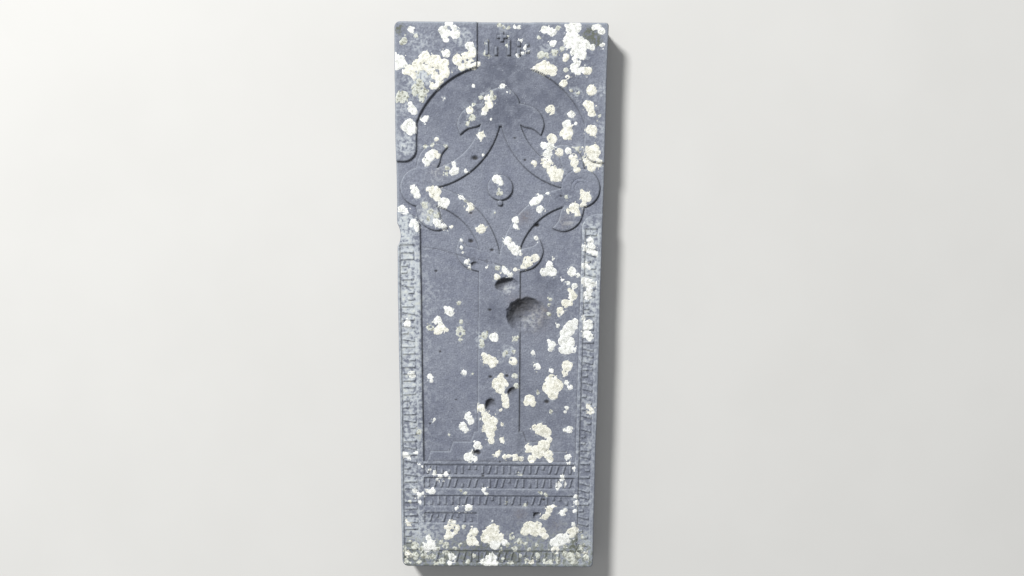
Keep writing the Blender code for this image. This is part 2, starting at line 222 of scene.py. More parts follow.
# The long sides wander by two waves, in radians to the metre, that die out away from the sides
LONG_WAVE = 9
SHORT_WAVE = 23
SHORT_WAVE_SHARE = 0.5
WAVE_DEPTH = 0.0008
WAVE_FADE = 8

# The view from above that the photograph gives. A pixel's size is in metres.
PIXEL = 0.00363
PHOTO_SIZE = (1024, 576)
PHOTO_SLAB_CENTRE = (499.4, 294.3)
PHOTO_ROLL = math.radians(0.4)
CAMERA_DISTANCE = 4.0

# Where the light comes from in the plan, and where its lamp hangs
LIGHT_FROM = (-0.62, 0.78)
KEY_PLACE = (-7.2, 9.2, 10.5)

# How far off an outline is still followed, and where a wall has its top and its foot beside it
REACH = 0.020
WALL_TOP = -0.0013
WALL_FOOT = 0.0011
# This far inside the cross, the field's own edge doesn't show
MERGE_DEPTH = REACH / 3
# Points farther out than this are moved to a wall's foot line, the others to its top line
WALL_MIDDLE = -WALL_FOOT / 5
# A height that is under every form, and a length too small to matter
FAR_BELOW = -1
TINY = 1e-9

# Noise, by what it shapes: size of its features in metres, seed, height or share
NOISE = {
    "hollow_rim": (0.022, 3.1, 0.10),
    "chips": (0.022, 5.1, 0.0046),
    "fine_chips": (0.008, 2.9, 0.0022),
    "swell": (0.16, 0.4, 0.0007),
    "ripple": (0.045, 7.7, 0.0004),
    "grain": (0.013, 2.2, 0.00022),
    "fine_grain": (0.006, 5.5, 0.00012),
    "sides": (0.05, 9.0, 1),
    "tooling": (0.012, 6.0, 1),
    "lobes": (0.018, 1.7, 1),
    "small_lobes": (0.007, 4.2, 1),
    "specks": (0.0042, 6.6, 1),
    "satellites": (0.0075, 3.3, 1),
    "holes": (0.0095, 5.7, 1),
    "grey_rim": (0.0065, 7.1, 0.0035),
    "fallen_rim": (0.007, 9.2, 0.004),
    "crust": (0.005, 8.8, 1),
}
# Between the seeds of a warp across the slab and along it
WARP_SEED = 11.5

# Small pocks, by pixel of the photograph: across, down, radius
POCKS = (
    (547, 402, 3.6), (507, 376, 2.6), (490.5, 377, 2.6), (490, 310, 2.4), (436, 271, 2.2), (492, 250, 2.6),
    (537, 225, 3.8), (471, 241, 3.6), (515, 138, 1.8), (525, 160, 2.0), (478, 453, 4.0), (475, 158, 4.4),
    (561, 196, 1.8), (483, 476, 2.2), (440, 352, 1.6), (471, 213, 2.2), (430, 424, 1.6), (456, 400, 1.4),
    (500, 462, 1.8), (544, 500, 2.4),
)
# The hairline crack that crosses the field under the left leaf
CRACK = ((422, 247), (438, 249), (455, 254), (470, 258), (490, 262), (503, 266))

# Soft areas of colour, by pixel of the photograph: across, down, radius, strength
DARKER = (
    (500, 80, 42, 0.75), (440, 110, 25, 0.4), (560, 100, 25, 0.6), (500, 115, 35, 0.5), (515, 45, 22, 0.35),
    (470, 500, 60, 0.25), (540, 500, 50, 0.25), (430, 440, 25, 0.15), (550, 310, 30, 0.3),
    (520, 395, 30, 0.4), (440, 410, 30, 0.15), (560, 420, 30, 0.3), (490, 310, 16, 0.45),
    (545, 280, 14, 0.5), (455, 214, 9, 0.5), (560, 195, 10, 0.5), (500, 320, 16, 0.4), (585, 60, 12, 0.5),
    (575, 82, 12, 0.4), (440, 36, 8, 0.4),
)
# Pale film. The three in the hollows, at (531, 321), (540, 312) and (509, 289), are painted light on floors
# that face the light.
FILMED_AND_LIT = (
    (409, 260, 20, 1.0), (409, 300, 24, 1.0), (409, 345, 24, 1.0), (409, 390, 24, 0.95),
    (409, 435, 24, 0.85), (409, 480, 22, 0.7), (409, 525, 22, 0.7), (592, 232, 16, 0.9),
    (591, 270, 22, 0.95), (590, 310, 22, 0.8), (589, 360, 22, 0.6), (588, 405, 22, 0.6),
    (586, 450, 22, 0.55), (585, 500, 22, 0.55), (583, 548, 18, 0.8), (420, 42, 16, 0.6), (462, 36, 14, 0.7),
    (412, 85, 16, 0.5), (405, 145, 14, 0.9), (403, 110, 14, 0.5), (548, 52, 12, 0.6), (590, 35, 14, 0.4),
    (604, 90, 9, 0.7), (577, 94, 8, 0.7), (602, 130, 12, 0.6), (430, 552, 24, 0.85), (550, 556, 24, 0.7),
    (520, 545, 18, 0.6), (465, 556, 16, 0.5), (575, 556, 18, 0.8), (435, 212, 9, 0.8), (434, 170, 10, 0.55),
    (500, 192, 9, 0.75), (480, 340, 9, 0.5), (508, 352, 9, 0.6), (516, 384, 8, 0.6), (552, 300, 7, 0.5),
    (586, 200, 9, 0.4), (572, 222, 8, 0.6), (440, 290, 30, 0.3), (531, 321, 9, 1.8), (540, 312, 7, 1.2),
    (509, 289, 6, 2.2), (487, 97, 9, 1.4), (470, 112, 8, 1.2), (505, 28, 12, 0.6), (486, 50, 6, 0.4),
    (450, 500, 30, 0.2), (520, 470, 30, 0.2), (406, 224, 12, 1.4), (402, 243, 10, 0.8), (438, 176, 9, 0.8),
    (566, 222, 7, 0.8), (423, 76, 11, 0.9), (424, 204, 6, 1.9), (429, 212, 7, 1.7), (424, 218, 5, 1.9),
    (430, 224, 5, 1.8), (435, 217, 5, 1.5), (482, 337, 7, 1.7), (481, 348, 4, 1.5), (503, 354, 5, 1.5),
    (511, 352, 5, 1.5),
)
MOSSED = (
    (590, 34, 8, 1.5), (597, 42, 6, 1.3), (398, 28, 7, 1.0), (404, 34, 4, 0.5), (520, 556, 30, 0.6),
    (560, 556, 30, 0.6), (430, 558, 30, 0.5), (577, 545, 14, 0.6), (419, 436, 6, 0.35), (420, 300, 5, 0.3),
)
STAINED = (
    (525, 217, 6, 0.65), (516, 224, 3, 0.4), (516, 270, 3, 0.4), (536, 316, 14, 0.45), (518, 303, 8, 0.5),
    (509, 289, 6, 0.3), (545, 312, 5, 0.4), (520, 514, 6, 0.4), (556, 526, 7, 0.3), (472, 212, 5, 0.3),
    (566, 222, 7, 0.5), (430, 210, 8, 0.35), (437, 172, 8, 0.3),
)

# Lichen colonies, by pixel of the photograph: across, down, radius
WHITE_COLONIES = (
    (399, 60, 7), (404, 64, 4), (398, 67, 4), (450, 30, 8), (445, 34, 6), (455, 34, 6), (449, 24, 5),
    (442, 30, 4), (446, 40, 3.5), (411, 29.5, 4), (446.6, 53.6, 4.5), (443, 52, 2.5), (470, 46, 5),
    (473, 50, 4), (412, 109, 5), (410, 104, 3.5), (414, 112, 4), (408.7, 126, 7.5), (411, 130, 6),
    (404, 126, 4), (423.7, 118.6, 4.5), (427, 117.5, 2.5), (473.4, 84.6, 2.6), (444, 98, 1.6),
    (484, 113, 3.5), (491, 119, 1.8), (431, 156, 6), (427, 161, 5), (433, 153, 4), (455, 170, 5),
    (454, 164, 3), (452, 172, 4), (466, 171, 2.5), (483, 155, 2.2), (415, 191, 5), (413.5, 188, 4),
    (417, 195, 4), (444, 203, 6.5), (461, 197, 3), (464, 199, 2), (401, 209, 5), (405, 211, 4.4),
    (414, 222, 4), (417, 228, 4), (411, 225, 3), (439, 224, 5), (444, 227, 4), (436, 221, 3.5),
    (497, 179, 5), (501, 183, 3.5), (502.7, 85.7, 3), (507.5, 92, 1.6), (515, 26, 3), (520, 27, 3),
    (521, 41, 2.4), (525, 47, 2.6), (523, 53, 2.6), (517, 55, 2.2), (528, 51, 1.4), (545, 30, 5),
    (552, 32, 5), (553, 43.6, 4.3), (568, 27, 5), (575, 27, 7), (572, 36, 7), (577, 42, 8), (585, 45, 6),
    (592, 47, 4), (568, 44, 5), (575, 52, 6), (582, 55, 6), (576, 59, 4), (566, 40, 4), (579, 62, 3),
    (601, 30.7, 5), (598, 27, 4), (594, 28, 3), (602, 45, 3), (575, 67, 5), (578, 72, 4), (583, 70, 4),
    (572, 70, 3), (571.6, 114.3, 4.5), (566.6, 123.6, 5), (575.9, 123.6, 2.5), (543.7, 145, 4),
    (550, 147, 5), (548, 154, 5), (568, 150.7, 4), (536, 201, 5), (540, 198, 4), (532, 203, 3),
    (548, 193, 2.2), (540, 209.5, 4.5), (516, 220, 4), (516, 226, 3.5), (508, 241, 5), (512, 246, 5),
    (516, 251, 5.5), (520, 254, 3), (536, 238, 3.2), (461, 240, 2.4), (461, 247, 2.4), (463, 252, 2),
    (466, 262, 3.2), (469, 267, 2.6), (487, 267, 1.8), (506, 271, 4), (510, 274, 3.5), (504, 269, 3),
    (553, 259, 2.4), (550, 265, 4.5), (545, 272, 5), (552, 272, 5), (548, 268, 4), (572, 272, 5.5),
    (577, 275, 3), (590, 248, 6), (594, 253, 4), (590, 241, 4), (585, 247, 3), (585, 265, 4), (589, 268, 3),
    (589, 283, 6), (584, 281, 4), (594, 284, 3), (587, 296, 5), (590, 290, 4), (563, 280, 2.2),
    (568, 283, 3), (575, 286, 4), (572, 326, 7), (569, 330, 7), (575, 322, 4), (565, 335, 6), (562, 341, 5),
    (570, 342, 6), (567, 349, 7), (573, 350, 4), (563, 350, 5), (558, 326, 3), (588, 325, 6), (586, 333, 6),
    (583, 318, 3), (590, 338, 4), (552, 345, 4.6), (551, 350, 3.5), (549, 341, 3), (533, 353, 2.8),
    (537, 367, 4.3), (567, 383, 3), (571, 388, 3), (551, 371, 3), (449, 311, 5), (445, 308, 3),
    (451, 314, 3), (438, 321, 5), (407, 324, 4.5), (494, 337, 5), (464, 373, 3.6), (412, 374.6, 4.5),
    (430, 377, 3.5), (431, 381, 2.5), (567, 408, 3), (565, 412, 2), (468, 417, 5), (471, 421, 4),
    (463, 427, 5), (465, 431, 4), (434, 420, 2.2), (570, 430, 4.5), (566, 430, 3), (478, 446, 5),
    (468, 457, 5), (474, 459, 4), (472, 454, 4), (568, 458, 4), (569, 463, 3), (574, 468, 2.5),
    (405, 455, 4), (409, 457, 3), (416, 453, 2.5), (419, 464, 2.2), (422, 467, 2.2), (435, 473, 3),
    (440, 477, 3), (446, 474, 3), (449, 478, 2.4), (437, 480, 2.2), (444, 481, 2), (430, 470, 2.2),
    (562, 479, 4), (559, 485, 3.5), (565, 484, 2.5), (558, 489, 2.2), (432, 491, 4), (428, 491, 2.5),
    (415, 491, 3), (419, 495, 3), (423, 493, 2.5), (416, 498, 2.5), (420, 502, 2.2), (484, 490, 3.5),
    (486, 494, 2.2), (457, 509, 3), (468.5, 508, 4), (563, 513, 4), (565, 510, 3), (576, 497, 3),
    (577, 503, 3), (575, 511, 3), (573, 524.5, 2.5), (492, 521.5, 1.7), (428, 538, 3.5), (431, 543, 5),
    (428, 548, 5), (434, 548, 4), (424, 545, 3), (452, 557, 4), (450, 563, 3), (488, 562, 6), (492, 558, 5),
    (495, 563, 4), (483, 562, 3), (495, 544, 6), (504, 542, 4), (560, 540, 7), (554, 543, 5), (566, 538, 6),
)
CREAM_COLONIES = (
    (425, 69, 4.5), (431, 71, 5), (435, 76, 4.5), (437, 86, 4), (425, 58, 7), (435, 62, 8), (443, 65, 7),
    (445, 73, 6), (440, 80, 5), (432, 86, 4), (418, 65, 7), (410, 70, 6), (405, 72, 4), (414, 76, 4),
    (472, 54, 5), (458, 60, 6), (466, 58, 7), (472, 65, 6), (462, 67, 5), (477, 64, 4), (487, 99, 4),
    (489, 104, 5), (485, 109, 4), (470, 110, 4.4), (481.6, 135.7, 4.6), (436.6, 139, 3), (436, 155, 5),
    (435, 192, 7), (429, 190, 4), (437, 198, 4), (470, 207, 4.6), (482, 229, 4.6), (477, 230, 2.8),
    (451, 227, 2.5), (566, 58, 4.5), (545, 68, 8), (538, 68, 5), (552, 70, 6), (553, 73, 4), (568, 77, 3),
    (588, 71, 5), (563.7, 83.6, 4.5), (591.6, 90.7, 6), (589.4, 106.4, 6), (586, 104, 4), (592, 113, 4.5),
    (591.6, 130.7, 6.5), (550.6, 110, 5.5), (566.6, 133.6, 7), (570, 128, 4), (552.3, 138.6, 6),
    (559.4, 152, 4.5), (573, 157, 4.4), (593.7, 152, 8), (587, 150, 4), (589.4, 160.7, 6), (598, 163, 5),
    (592, 167, 5), (547, 163, 6), (543, 160, 3), (552, 170, 6), (556, 176, 7), (561, 172, 4),
    (534.4, 164, 4), (575, 163, 5), (577, 169, 4), (586, 197, 6), (582, 192, 3), (583, 205, 4),
    (574, 208, 6), (569, 211, 4), (577, 213, 4), (528, 262, 6), (535, 258, 5), (524, 266, 4), (497, 277, 4),
    (515, 270, 3), (573, 296, 5), (571, 291, 4), (566, 303, 5), (561, 311, 4.5), (570, 303, 4),
    (559, 315, 2.5), (441, 327, 5), (438, 331, 5), (446, 330, 3), (488, 360, 6), (493, 362, 6),
    (484, 355, 3.5), (513, 361, 5), (567, 366, 6), (565, 373, 4), (501, 378, 5), (498, 384, 7),
    (504, 384, 5), (500, 390, 5), (505, 398, 5), (506, 405, 4.5), (501, 410, 2.5), (552, 381, 7),
    (556, 386, 8), (549, 388, 7), (553, 395, 6), (530, 400, 6), (527, 403, 4), (533, 404, 4),
    (591, 411, 4.5), (588, 406, 3), (481, 408, 5), (484, 413, 4), (487, 419, 6), (493, 421, 6),
    (489, 427, 7), (494, 428, 4), (490, 434, 5), (491, 441, 4), (502, 425, 2.5), (541, 430, 7),
    (546, 433, 6), (535, 428, 4), (549, 440, 4.5), (544, 447, 7), (538, 452, 7), (548, 455, 5),
    (529, 449, 5), (532, 459, 5), (550, 460, 4), (502, 441, 3.5), (497.5, 454, 4), (505, 457, 3),
    (510, 457, 3.5), (515, 458, 4), (521, 459, 3.5), (550, 509, 4), (548, 514, 3.5), (545, 517, 4),
    (553, 506, 2.2), (408, 524, 3.5), (452, 524, 5), (456, 528, 4), (448, 528, 4), (450, 535, 5),
    (446, 537, 3), (455, 533, 3), (474, 532, 5), (472, 541, 6), (476, 543, 4), (470, 536, 4), (493, 531, 8),
    (489, 536, 8), (498, 537, 6), (485, 540, 4), (530, 527, 7), (535, 530, 7), (525, 531, 5), (542, 532, 5),
    (545, 536, 4), (538, 525, 4), (572, 533, 6), (575, 530, 4), (555, 550, 5), (408, 554, 4), (532, 562, 3),
    (585, 553, 3),
)
GREY_COLONIES = (
    (404, 41, 5), (416, 36, 3), (419, 84, 6), (415, 92, 4.5), (421, 97, 4), (418, 88, 7), (424, 92, 6),
    (422, 100, 4), (402, 97, 7.5), (397, 100, 4), (423, 74, 6), (493, 97, 4), (481, 97, 3), (492, 92, 3),
    (472, 118, 4.4), (474, 104, 3), (468, 124, 3), (425, 146, 3), (432, 145, 3), (446, 146, 3),
    (503, 27, 3), (508, 28, 3), (499, 25, 3), (509, 36, 2), (506, 45, 2), (486, 43, 2), (485, 53, 2.4),
    (489, 56, 2), (539, 38, 3), (558, 28, 3.4), (541, 55, 4.6), (547, 55, 4), (555, 53, 4.6),
    (562, 49, 3.6), (566, 70, 3.6), (578, 93, 3), (571, 91, 2.6), (599, 116, 2.6), (597, 122, 2),
    (578, 149, 4), (584, 157, 3), (466, 201, 2.4), (430, 212, 4), (437, 215, 4), (425, 205, 4.4),
    (428, 219, 3), (445, 174, 3.4), (447, 168, 3), (500, 193, 4), (498, 188, 2.4), (567, 197, 3),
    (494, 213, 2.6), (497, 268, 3.4), (550, 299, 3.2), (549, 305, 2.4), (549, 314, 3.4), (430, 328, 4.4),
    (461, 322, 3.6), (460, 332, 6), (460, 340, 2.8), (459, 303, 3), (485, 335, 4.6), (482, 345, 3.6),
    (481, 341, 3), (505, 354, 3.8), (514, 352, 3), (516, 339, 4), (515, 376, 3.8), (516, 386, 3.6),
    (473, 374, 2), (538, 394, 3), (551, 412, 2.5), (419, 432, 3), (449, 435, 2.4), (465, 493, 3),
    (461, 491, 2.4), (541, 493, 3), (546, 495, 3), (464, 527, 3.6), (484, 536, 3.6), (512, 537, 3.5),
    (520, 542, 4), (525, 544, 3), (446, 545, 4.6), (441, 542, 3), (415, 546, 4.6), (415, 556, 4.6),
    (425, 556, 4.6), (432, 557, 4), (446, 553, 4), (442, 561, 4), (460, 545, 3), (570, 557, 6),
    (565, 554, 4), (578, 556, 4), (574, 562, 4), (520, 556, 3), (545, 562, 4), (558, 560, 4), (510, 562, 3),
    (582, 537, 3), (520, 474, 3), (507, 503, 2.4), (526, 505, 2.6), (410, 502, 3), (404, 549, 4),
    (411, 541, 3), (421, 549, 3.5), (407, 561, 3.5), (419, 562, 3), (438, 549, 3.5), (436, 563, 3),
    (455, 549, 3), (501, 550, 3), (508, 545, 3.4), (515, 549, 3.5), (529, 550, 3), (537, 545, 3),
    (538, 556, 3.5), (551, 562, 3), (565, 547, 3), (581, 547, 3.5), (586, 558, 3.6), (503, 559, 3),
    (526, 561, 3), (474, 556, 2.8), (468, 562, 3),
)
# How far a colony's rim lies inside the circle drawn for it
COLONY_INSET = 0.0022
# Shares of the lobing: how far off it still matters, what all beyond counts as, and finer lobes
LOBING_REACH = 2.5
FAR_LOBING = 1.5
SMALL_LOBING = 0.5
SPECK_LOBING = 0.30
# Specks of crust beside a colony: their scale, how rare they are, and how far out they lie
SATELLITE_SCALE = 0.012
SATELLITE_RARITY = 0.50
SATELLITE_REACH = 0.006
# Holes in a colony: their scale, how rare they are, and how fast they close towards its middle
HOLE_SCALE = 0.010
HOLE_RARITY = 0.34
HOLE_CLOSING = 0.30
# How far the grey crust's rim draws back
GREY_INSET = 0.0008
# The crust: its least thickness as a share and what its grain adds, its rise, and how its rim dips
CRUST_LEAST = 0.55
CRUST_MORE = 0.45
CRUST_RISE = 0.003
CRUST_RIM = (-0.003, 0.0004)
CRUST_RIM_SLOPE = 0.4
# How deep its underside lies in the stone
CRUST_ROOT = 0.0020
# Distances inside the rim over which its old middle shows, and over which its kinds meet
CRUST_MIDDLE = (0.005, 0.024)
CREAM_MEETS_WHITE = (-0.003, 0.003)
GREY_MEETS_PALE = (-0.001, 0.003)
# Where the crust has fallen out of a colony
CRUST_GAPS = (
    (449, 28, 1.8), (451, 30, 1.2), (423, 75, 4.4), (463, 62, 1.6), (467, 60, 1.2), (535, 368, 1.1),
    (511, 360, 1.3), (460, 334, 1.6), (463, 337, 1.1), (478, 453, 3.8), (510, 352, 1.6), (574, 550, 2.4),
    (475, 158, 3.6), (555, 552, 1.8), (431, 327, 1.4),
)

# The sides under the face: share of the way down to the ground, and distance in from the plan
SIDE_RINGS = (
    (0.015, 0.0020), (0.045, 0.0), (0.20, 0.0), (0.40, 0.0), (0.60, 0.0), (0.80, 0.0),
    (0.97, 0.0), (1.0, 0.004),
)
# How far the sides hollow in and are roughened by tooling, and the step that finds which way is in
BATTER = 0.0030
TOOLING = 0.0012
PLAN_STEP = 0.001
# How far the worn arris turns in at the face, and the rounded corners by side and end
ARRIS = 0.0030
CORNER_RADII = {(1, 1): 0.012, (-1, 1): 0.022, (-1, -1): 0.022, (1, -1): 0.014}

# Where each cut makes cells finer. Edges, ring lines and crack: gap in shares of the widest cell.
# Hollows and pocks: share of the way out. Border: share of the way to the slab's sides.
CUTS = (
    {"edge": 0.90, "ring": 0.90, "crack": 0, "hollow": 1.15, "pock": 1.6, "border": 0.985},
    {"edge": 0.42, "ring": 0.35, "crack": 0.35, "hollow": 1.10, "pock": 1.2, "border": 1},
    {"edge": 0, "ring": 0.16, "crack": 0.18, "hollow": 0, "pock": 0, "border": 1},
)
# Points this near to a wall, in shares of the widest cell, are moved onto its lines. The rim stays.
SNAP_SHARE = 0.16
INSIDE_RIM = 0.999
SLOPE_STEP = 0.0003
LEAST_SLOPE = 0.5
# Cells of crust kept outside the rims, in shares of a cell, and the cuts made after each trim
CRUST_TRIMS = ((1.2, 1), (0.5, 0))

# Grains of the materials: name, size in metres, where the noise starts and ends to show, detail.
# Real grit is finer than the view can show, so it is drawn as coarse as it needs to be seen.
STONE_GRAINS = (
    ("broad", 0.160, 0.34, 0.68, 3.0),
    ("blotch", 0.032, 0.38, 0.68, 3.0),
    ("patch", 0.014, 0.25, 0.75, 6.0),
    ("grit", 0.0055, 0.30, 0.72, 4.0),
    ("speck", 0.0060, 0.66, 0.72, 2.0),
    ("pit", 0.0075, 0.69, 0.76, 2.0),
)
LICHEN_GRAINS = (("patch", 0.016, 0.36, 0.66, 5.0), ("grain", 0.0090, 0.50, 0.64, 3.0))
FLOOR_GRAINS = (("cloud", 0.6, 0.3, 0.7, 3.0),)
GRAIN_ROUGHNESS = 0.6
# Growths on the stone: name, the attribute each follows, where it starts and ends to show. Dust and chalk
# follow the film, and so also lay its painted light on two hollow floors.
GROWTHS = (("dust", "film_and_light", 0.58, 1.02), ("chalk", "film_and_light", 0.98, 1.56), ("moss", "damp", 0.60, 1.12))
# How the surfaces shine: the stone's from its smoother to its rougher blotches
STONE_ROUGHNESS = (0.80, 0.94)
LICHEN_ROUGHNESS = 0.95
FLOOR_ROUGHNESS = 0.9
# A mask that starts and ends softly
SOFT_RAMP = {"interpolation_type": "SMOOTHSTEP"}

# Masks of the stone's material. Film: its share in the carving, and the halo round the crusts
FILM_BELOW = 0.45
HALO_LOBING = 0.0042
HALO_WIDTH = 0.010
HALO_SHARE = 0.34
# Wear and painted highlight: its width by a wall and by the slab's rim, and its share on a wall turned from
# the light. Walls facing the light get it in full, as a painted highlight.
WEAR_WIDTH = 0.0022
RIM_WEAR_WIDTH = 0.005
WEAR_UNLIT = 0.35
# Dirt and painted shade: its width at a wall's foot and in the crack, and its shares, lit and turned from
# the light. At every wall's foot it is soil and painted crevice shade; the share added where a wall turns
# from the light is painted shade.
DIRT_AND_SHADE_WIDTH = 0.0018
CRACK_DIRT_WIDTH = 0.0014
DIRT_AND_SHADE_BY_WALLS = (0.42, 0.50)
DIRT_AND_SHADE_IN_STRIPS = (0.20, 0.45)
DIRT_AND_SHADE_IN_HOLLOWS = (0.14, 0.62)
DARKENING_IN_POCKS = 0.9
DIRT_IN_CRACK = 0.5
HOLLOW_SHADOW_SIDE = (-0.2, 0.6)
HOLLOW_DIRT_AND_SHADE_RIM = (1.02, 0.90)
POCK_DARKENING_RIM = (1.0, 0.3)
# Damp: the share at the foot, from where to where it grows, and the share on the sides
FOOT_DAMP = 0.82
FOOT_DAMP_ALONG = (-0.82, -0.945)
SIDE_DAMP = 0.5
MOST_DARK = 0.9
MOST_STAIN = 0.6


def smooth(low, high, values):
    """0 at low and 1 at high, with a soft start and end."""
    share = np.clip((values - low) / (high - low), 0, 1)
    return share * share * (3 - 2 * share)


def half_width(y):
    """Half the width of the tapered slab at a place along its length."""
    share = (y - FOOT_Y) / SLAB_LENGTH
    return (FOOT_WIDTH + (HEAD_WIDTH - FOOT_WIDTH) * share) / 2


CROSS_Y = HEAD_Y - CROSS_FROM_HEAD
CROSS_REACH = half_width(CROSS_Y) - LOBE_MARGIN
END_Y = FOOT_Y + FIELD_END_FROM_FOOT


def arc(centre, radius_x, radius_y, start, end, steps):
    """Points on an elliptical arc, from one angle in degrees to another."""
    angles = [math.radians(start + (end - start) * i / steps) for i in range(steps + 1)]
    return [(centre[0] + radius_x * math.cos(a), centre[1] + radius_y * math.sin(a)) for a in angles]


def smooth_through(points, parts):
    """Points on a smooth curve through the given ones, each span cut into parts."""
    padded = [points[0], *points, points[-1]]
    result = []
    for i in range(1, len(padded) - 2):
        before, start, end, after = (Vector(p) for p in padded[i - 1 : i + 3])
        for j in range(parts):
            t = j / parts
            bend = before * (-t + 2 * t**2 - t**3) + start * (2 - 5 * t**2 + 3 * t**3)
            bend += end * (t + 4 * t**2 - 3 * t**3) + after * (t**3 - t**2)
            result.append(tuple(bend / 2))
    return [*result, points[-1]]


def outline_distance(points, outline):
    """Distance to a closed outline, below zero inside it, and REACH where it is far away."""
    corners = np.array(outline)
    near = np.all((points > corners.min(0) - REACH) & (points < corners.max(0) + REACH), axis=1)
    x, y = points[near].T
    best = np.full(len(x), REACH**2)
    inside = np.zeros(len(x), bool)
    for (ax, ay), (bx, by) in zip(corners, np.roll(corners, -1, axis=0)):
        ex, ey = bx - ax, by - ay
        share = np.clip(((x - ax) * ex + (y - ay) * ey) / (ex * ex + ey * ey), 0, 1)
        best = np.minimum(best, (x - ax - ex * share) ** 2 + (y - ay - ey * share) ** 2)
        if ay != by:
            inside ^= ((ay <= y) != (by <= y)) & (x < ax + ex * (y - ay) / ey)
    distance = np.full(len(points), REACH)
    distance[near] = np.where(inside, -1, 1) * np.sqrt(best)
    return distance


def rectangle(x, half, low, high):
    """An upright rectangle about a place across the slab."""
    return [(x - half, low), (x + half, low), (x + half, high), (x - half, high)]


def field_outline():
    """The sunken field: arch, spandrel corners, open shoulders and tapered lower part."""
    jamb = half_width(HEAD_Y - SPANDREL_FOOT_FROM_HEAD) - SPANDREL_MARGIN
    radius = jamb + ARCH_BULGE
    spring = math.degrees(math.acos(jamb / radius))
    shoulder_y = HEAD_Y - SPANDREL_FOOT_FROM_HEAD
    border_y = HEAD_Y - BORDER_TOP_FROM_HEAD
    beyond = HEAD_WIDTH / 2 + 2 * REACH
    turn_y = border_y - BORDER_END_RISE
    halves = []
    for border in (BORDER_RIGHT, BORDER_LEFT):
        inner = half_width(turn_y) - border
        end = border * BORDER_END_SHARE
        half = [(half_width(END_Y) - border, END_Y)]
        half += arc((inner + end, turn_y), end, BORDER_END_RISE, 180, 90, BEND_PARTS)
        half += [(beyond, border_y), (beyond, shoulder_y)]
        corner = (jamb + SPANDREL_CORNER, shoulder_y + SPANDREL_CORNER)
        half += arc(corner, SPANDREL_CORNER, SPANDREL_CORNER, 270, 180, BEND_PARTS)
        halves.append(half)
    crown_y = HEAD_Y - ARCH_CROWN_FROM_HEAD - radius
    crown = arc((0, crown_y), radius, radius, spring, 180 - spring, CROWN_PARTS)
    return halves[0] + crown + [(-x, y) for x, y in reversed(halves[1])]


def turned(points, quarter):
    """Cross-head points given as shares, turned by quarters and placed on the slab."""
    placed = []
    for along, across in points:
        for _ in range(quarter):
            along, across = -across, along
        placed.append((across * CROSS_REACH, CROSS_Y + along * CROSS_REACH))
    return placed


def cross_outlines():
    """The bands, leaves, shaft and steps of the cross."""
    outlines = []
    for quarter in range(4):
        sign_x = 1 if quarter in (0, 3) else -1
        sign_y = 1 if quarter in (0, 1) else -1
        x = sign_x * RING_CENTRE[0] * CROSS_REACH
        y = CROSS_Y + sign_y * RING_CENTRE[1] * CROSS_REACH
        start = 180 + 90 * quarter
        outer = arc((x, y), *[RING_OUTER * CROSS_REACH] * 2, start, start + 90, BAND_PARTS)
        inner = arc((x, y), *[RING_INNER * CROSS_REACH] * 2, start + 90, start, BAND_PARTS)
        outlines.append(outer + inner)
        for side in (-1, 1):
            leaf = smooth_through((*LEAF_OUTER, LEAF_TIP), LEAF_OUTER_PARTS)
            leaf += smooth_through((LEAF_TIP, *LEAF_INNER), LEAF_INNER_PARTS)[1:]
            outlines.append(turned([(along, across * side) for along, across in leaf], quarter))
    steps_top = FOOT_Y + STEPS_TOP_FROM_FOOT
    rise = (steps_top - END_Y) / len(STEP_HALF_WIDTHS)
    half = SHAFT_WIDTH / 2
    low, high = steps_top - rise, CROSS_Y - SHAFT_TOP * CROSS_REACH
    outlines.append(rectangle(0, half, low, high))
    side = []
    for number, width in enumerate(STEP_HALF_WIDTHS):
        low = END_Y + number * rise
        side += [(width, low - STEPS_OVERRUN * (number == 0)), (width - STEP_LEAN, low + rise)]
    outlines.append(side + [(-x, y) for x, y in reversed(side)])
    return outlines


def lobe_outlines():
    """The round lobes at the head and both sides, then the boss and its knob."""
    lobe = arc((LOBE_ALONG, 0), LOBE_RADIUS, LOBE_RADIUS, 0, 360, LOBE_PARTS)[:-1]
    boss = arc((0, 0), BOSS_RADIUS, BOSS_RADIUS, 0, 360, BOSS_PARTS)[:-1]
    knob = arc((-KNOB_BELOW, 0), KNOB_RADIUS, KNOB_RADIUS, 0, 360, KNOB_PARTS)[:-1]
    return [turned(lobe, quarter) for quarter in (0, 1, 3)], [turned(boss, 0), turned(knob, 0)]


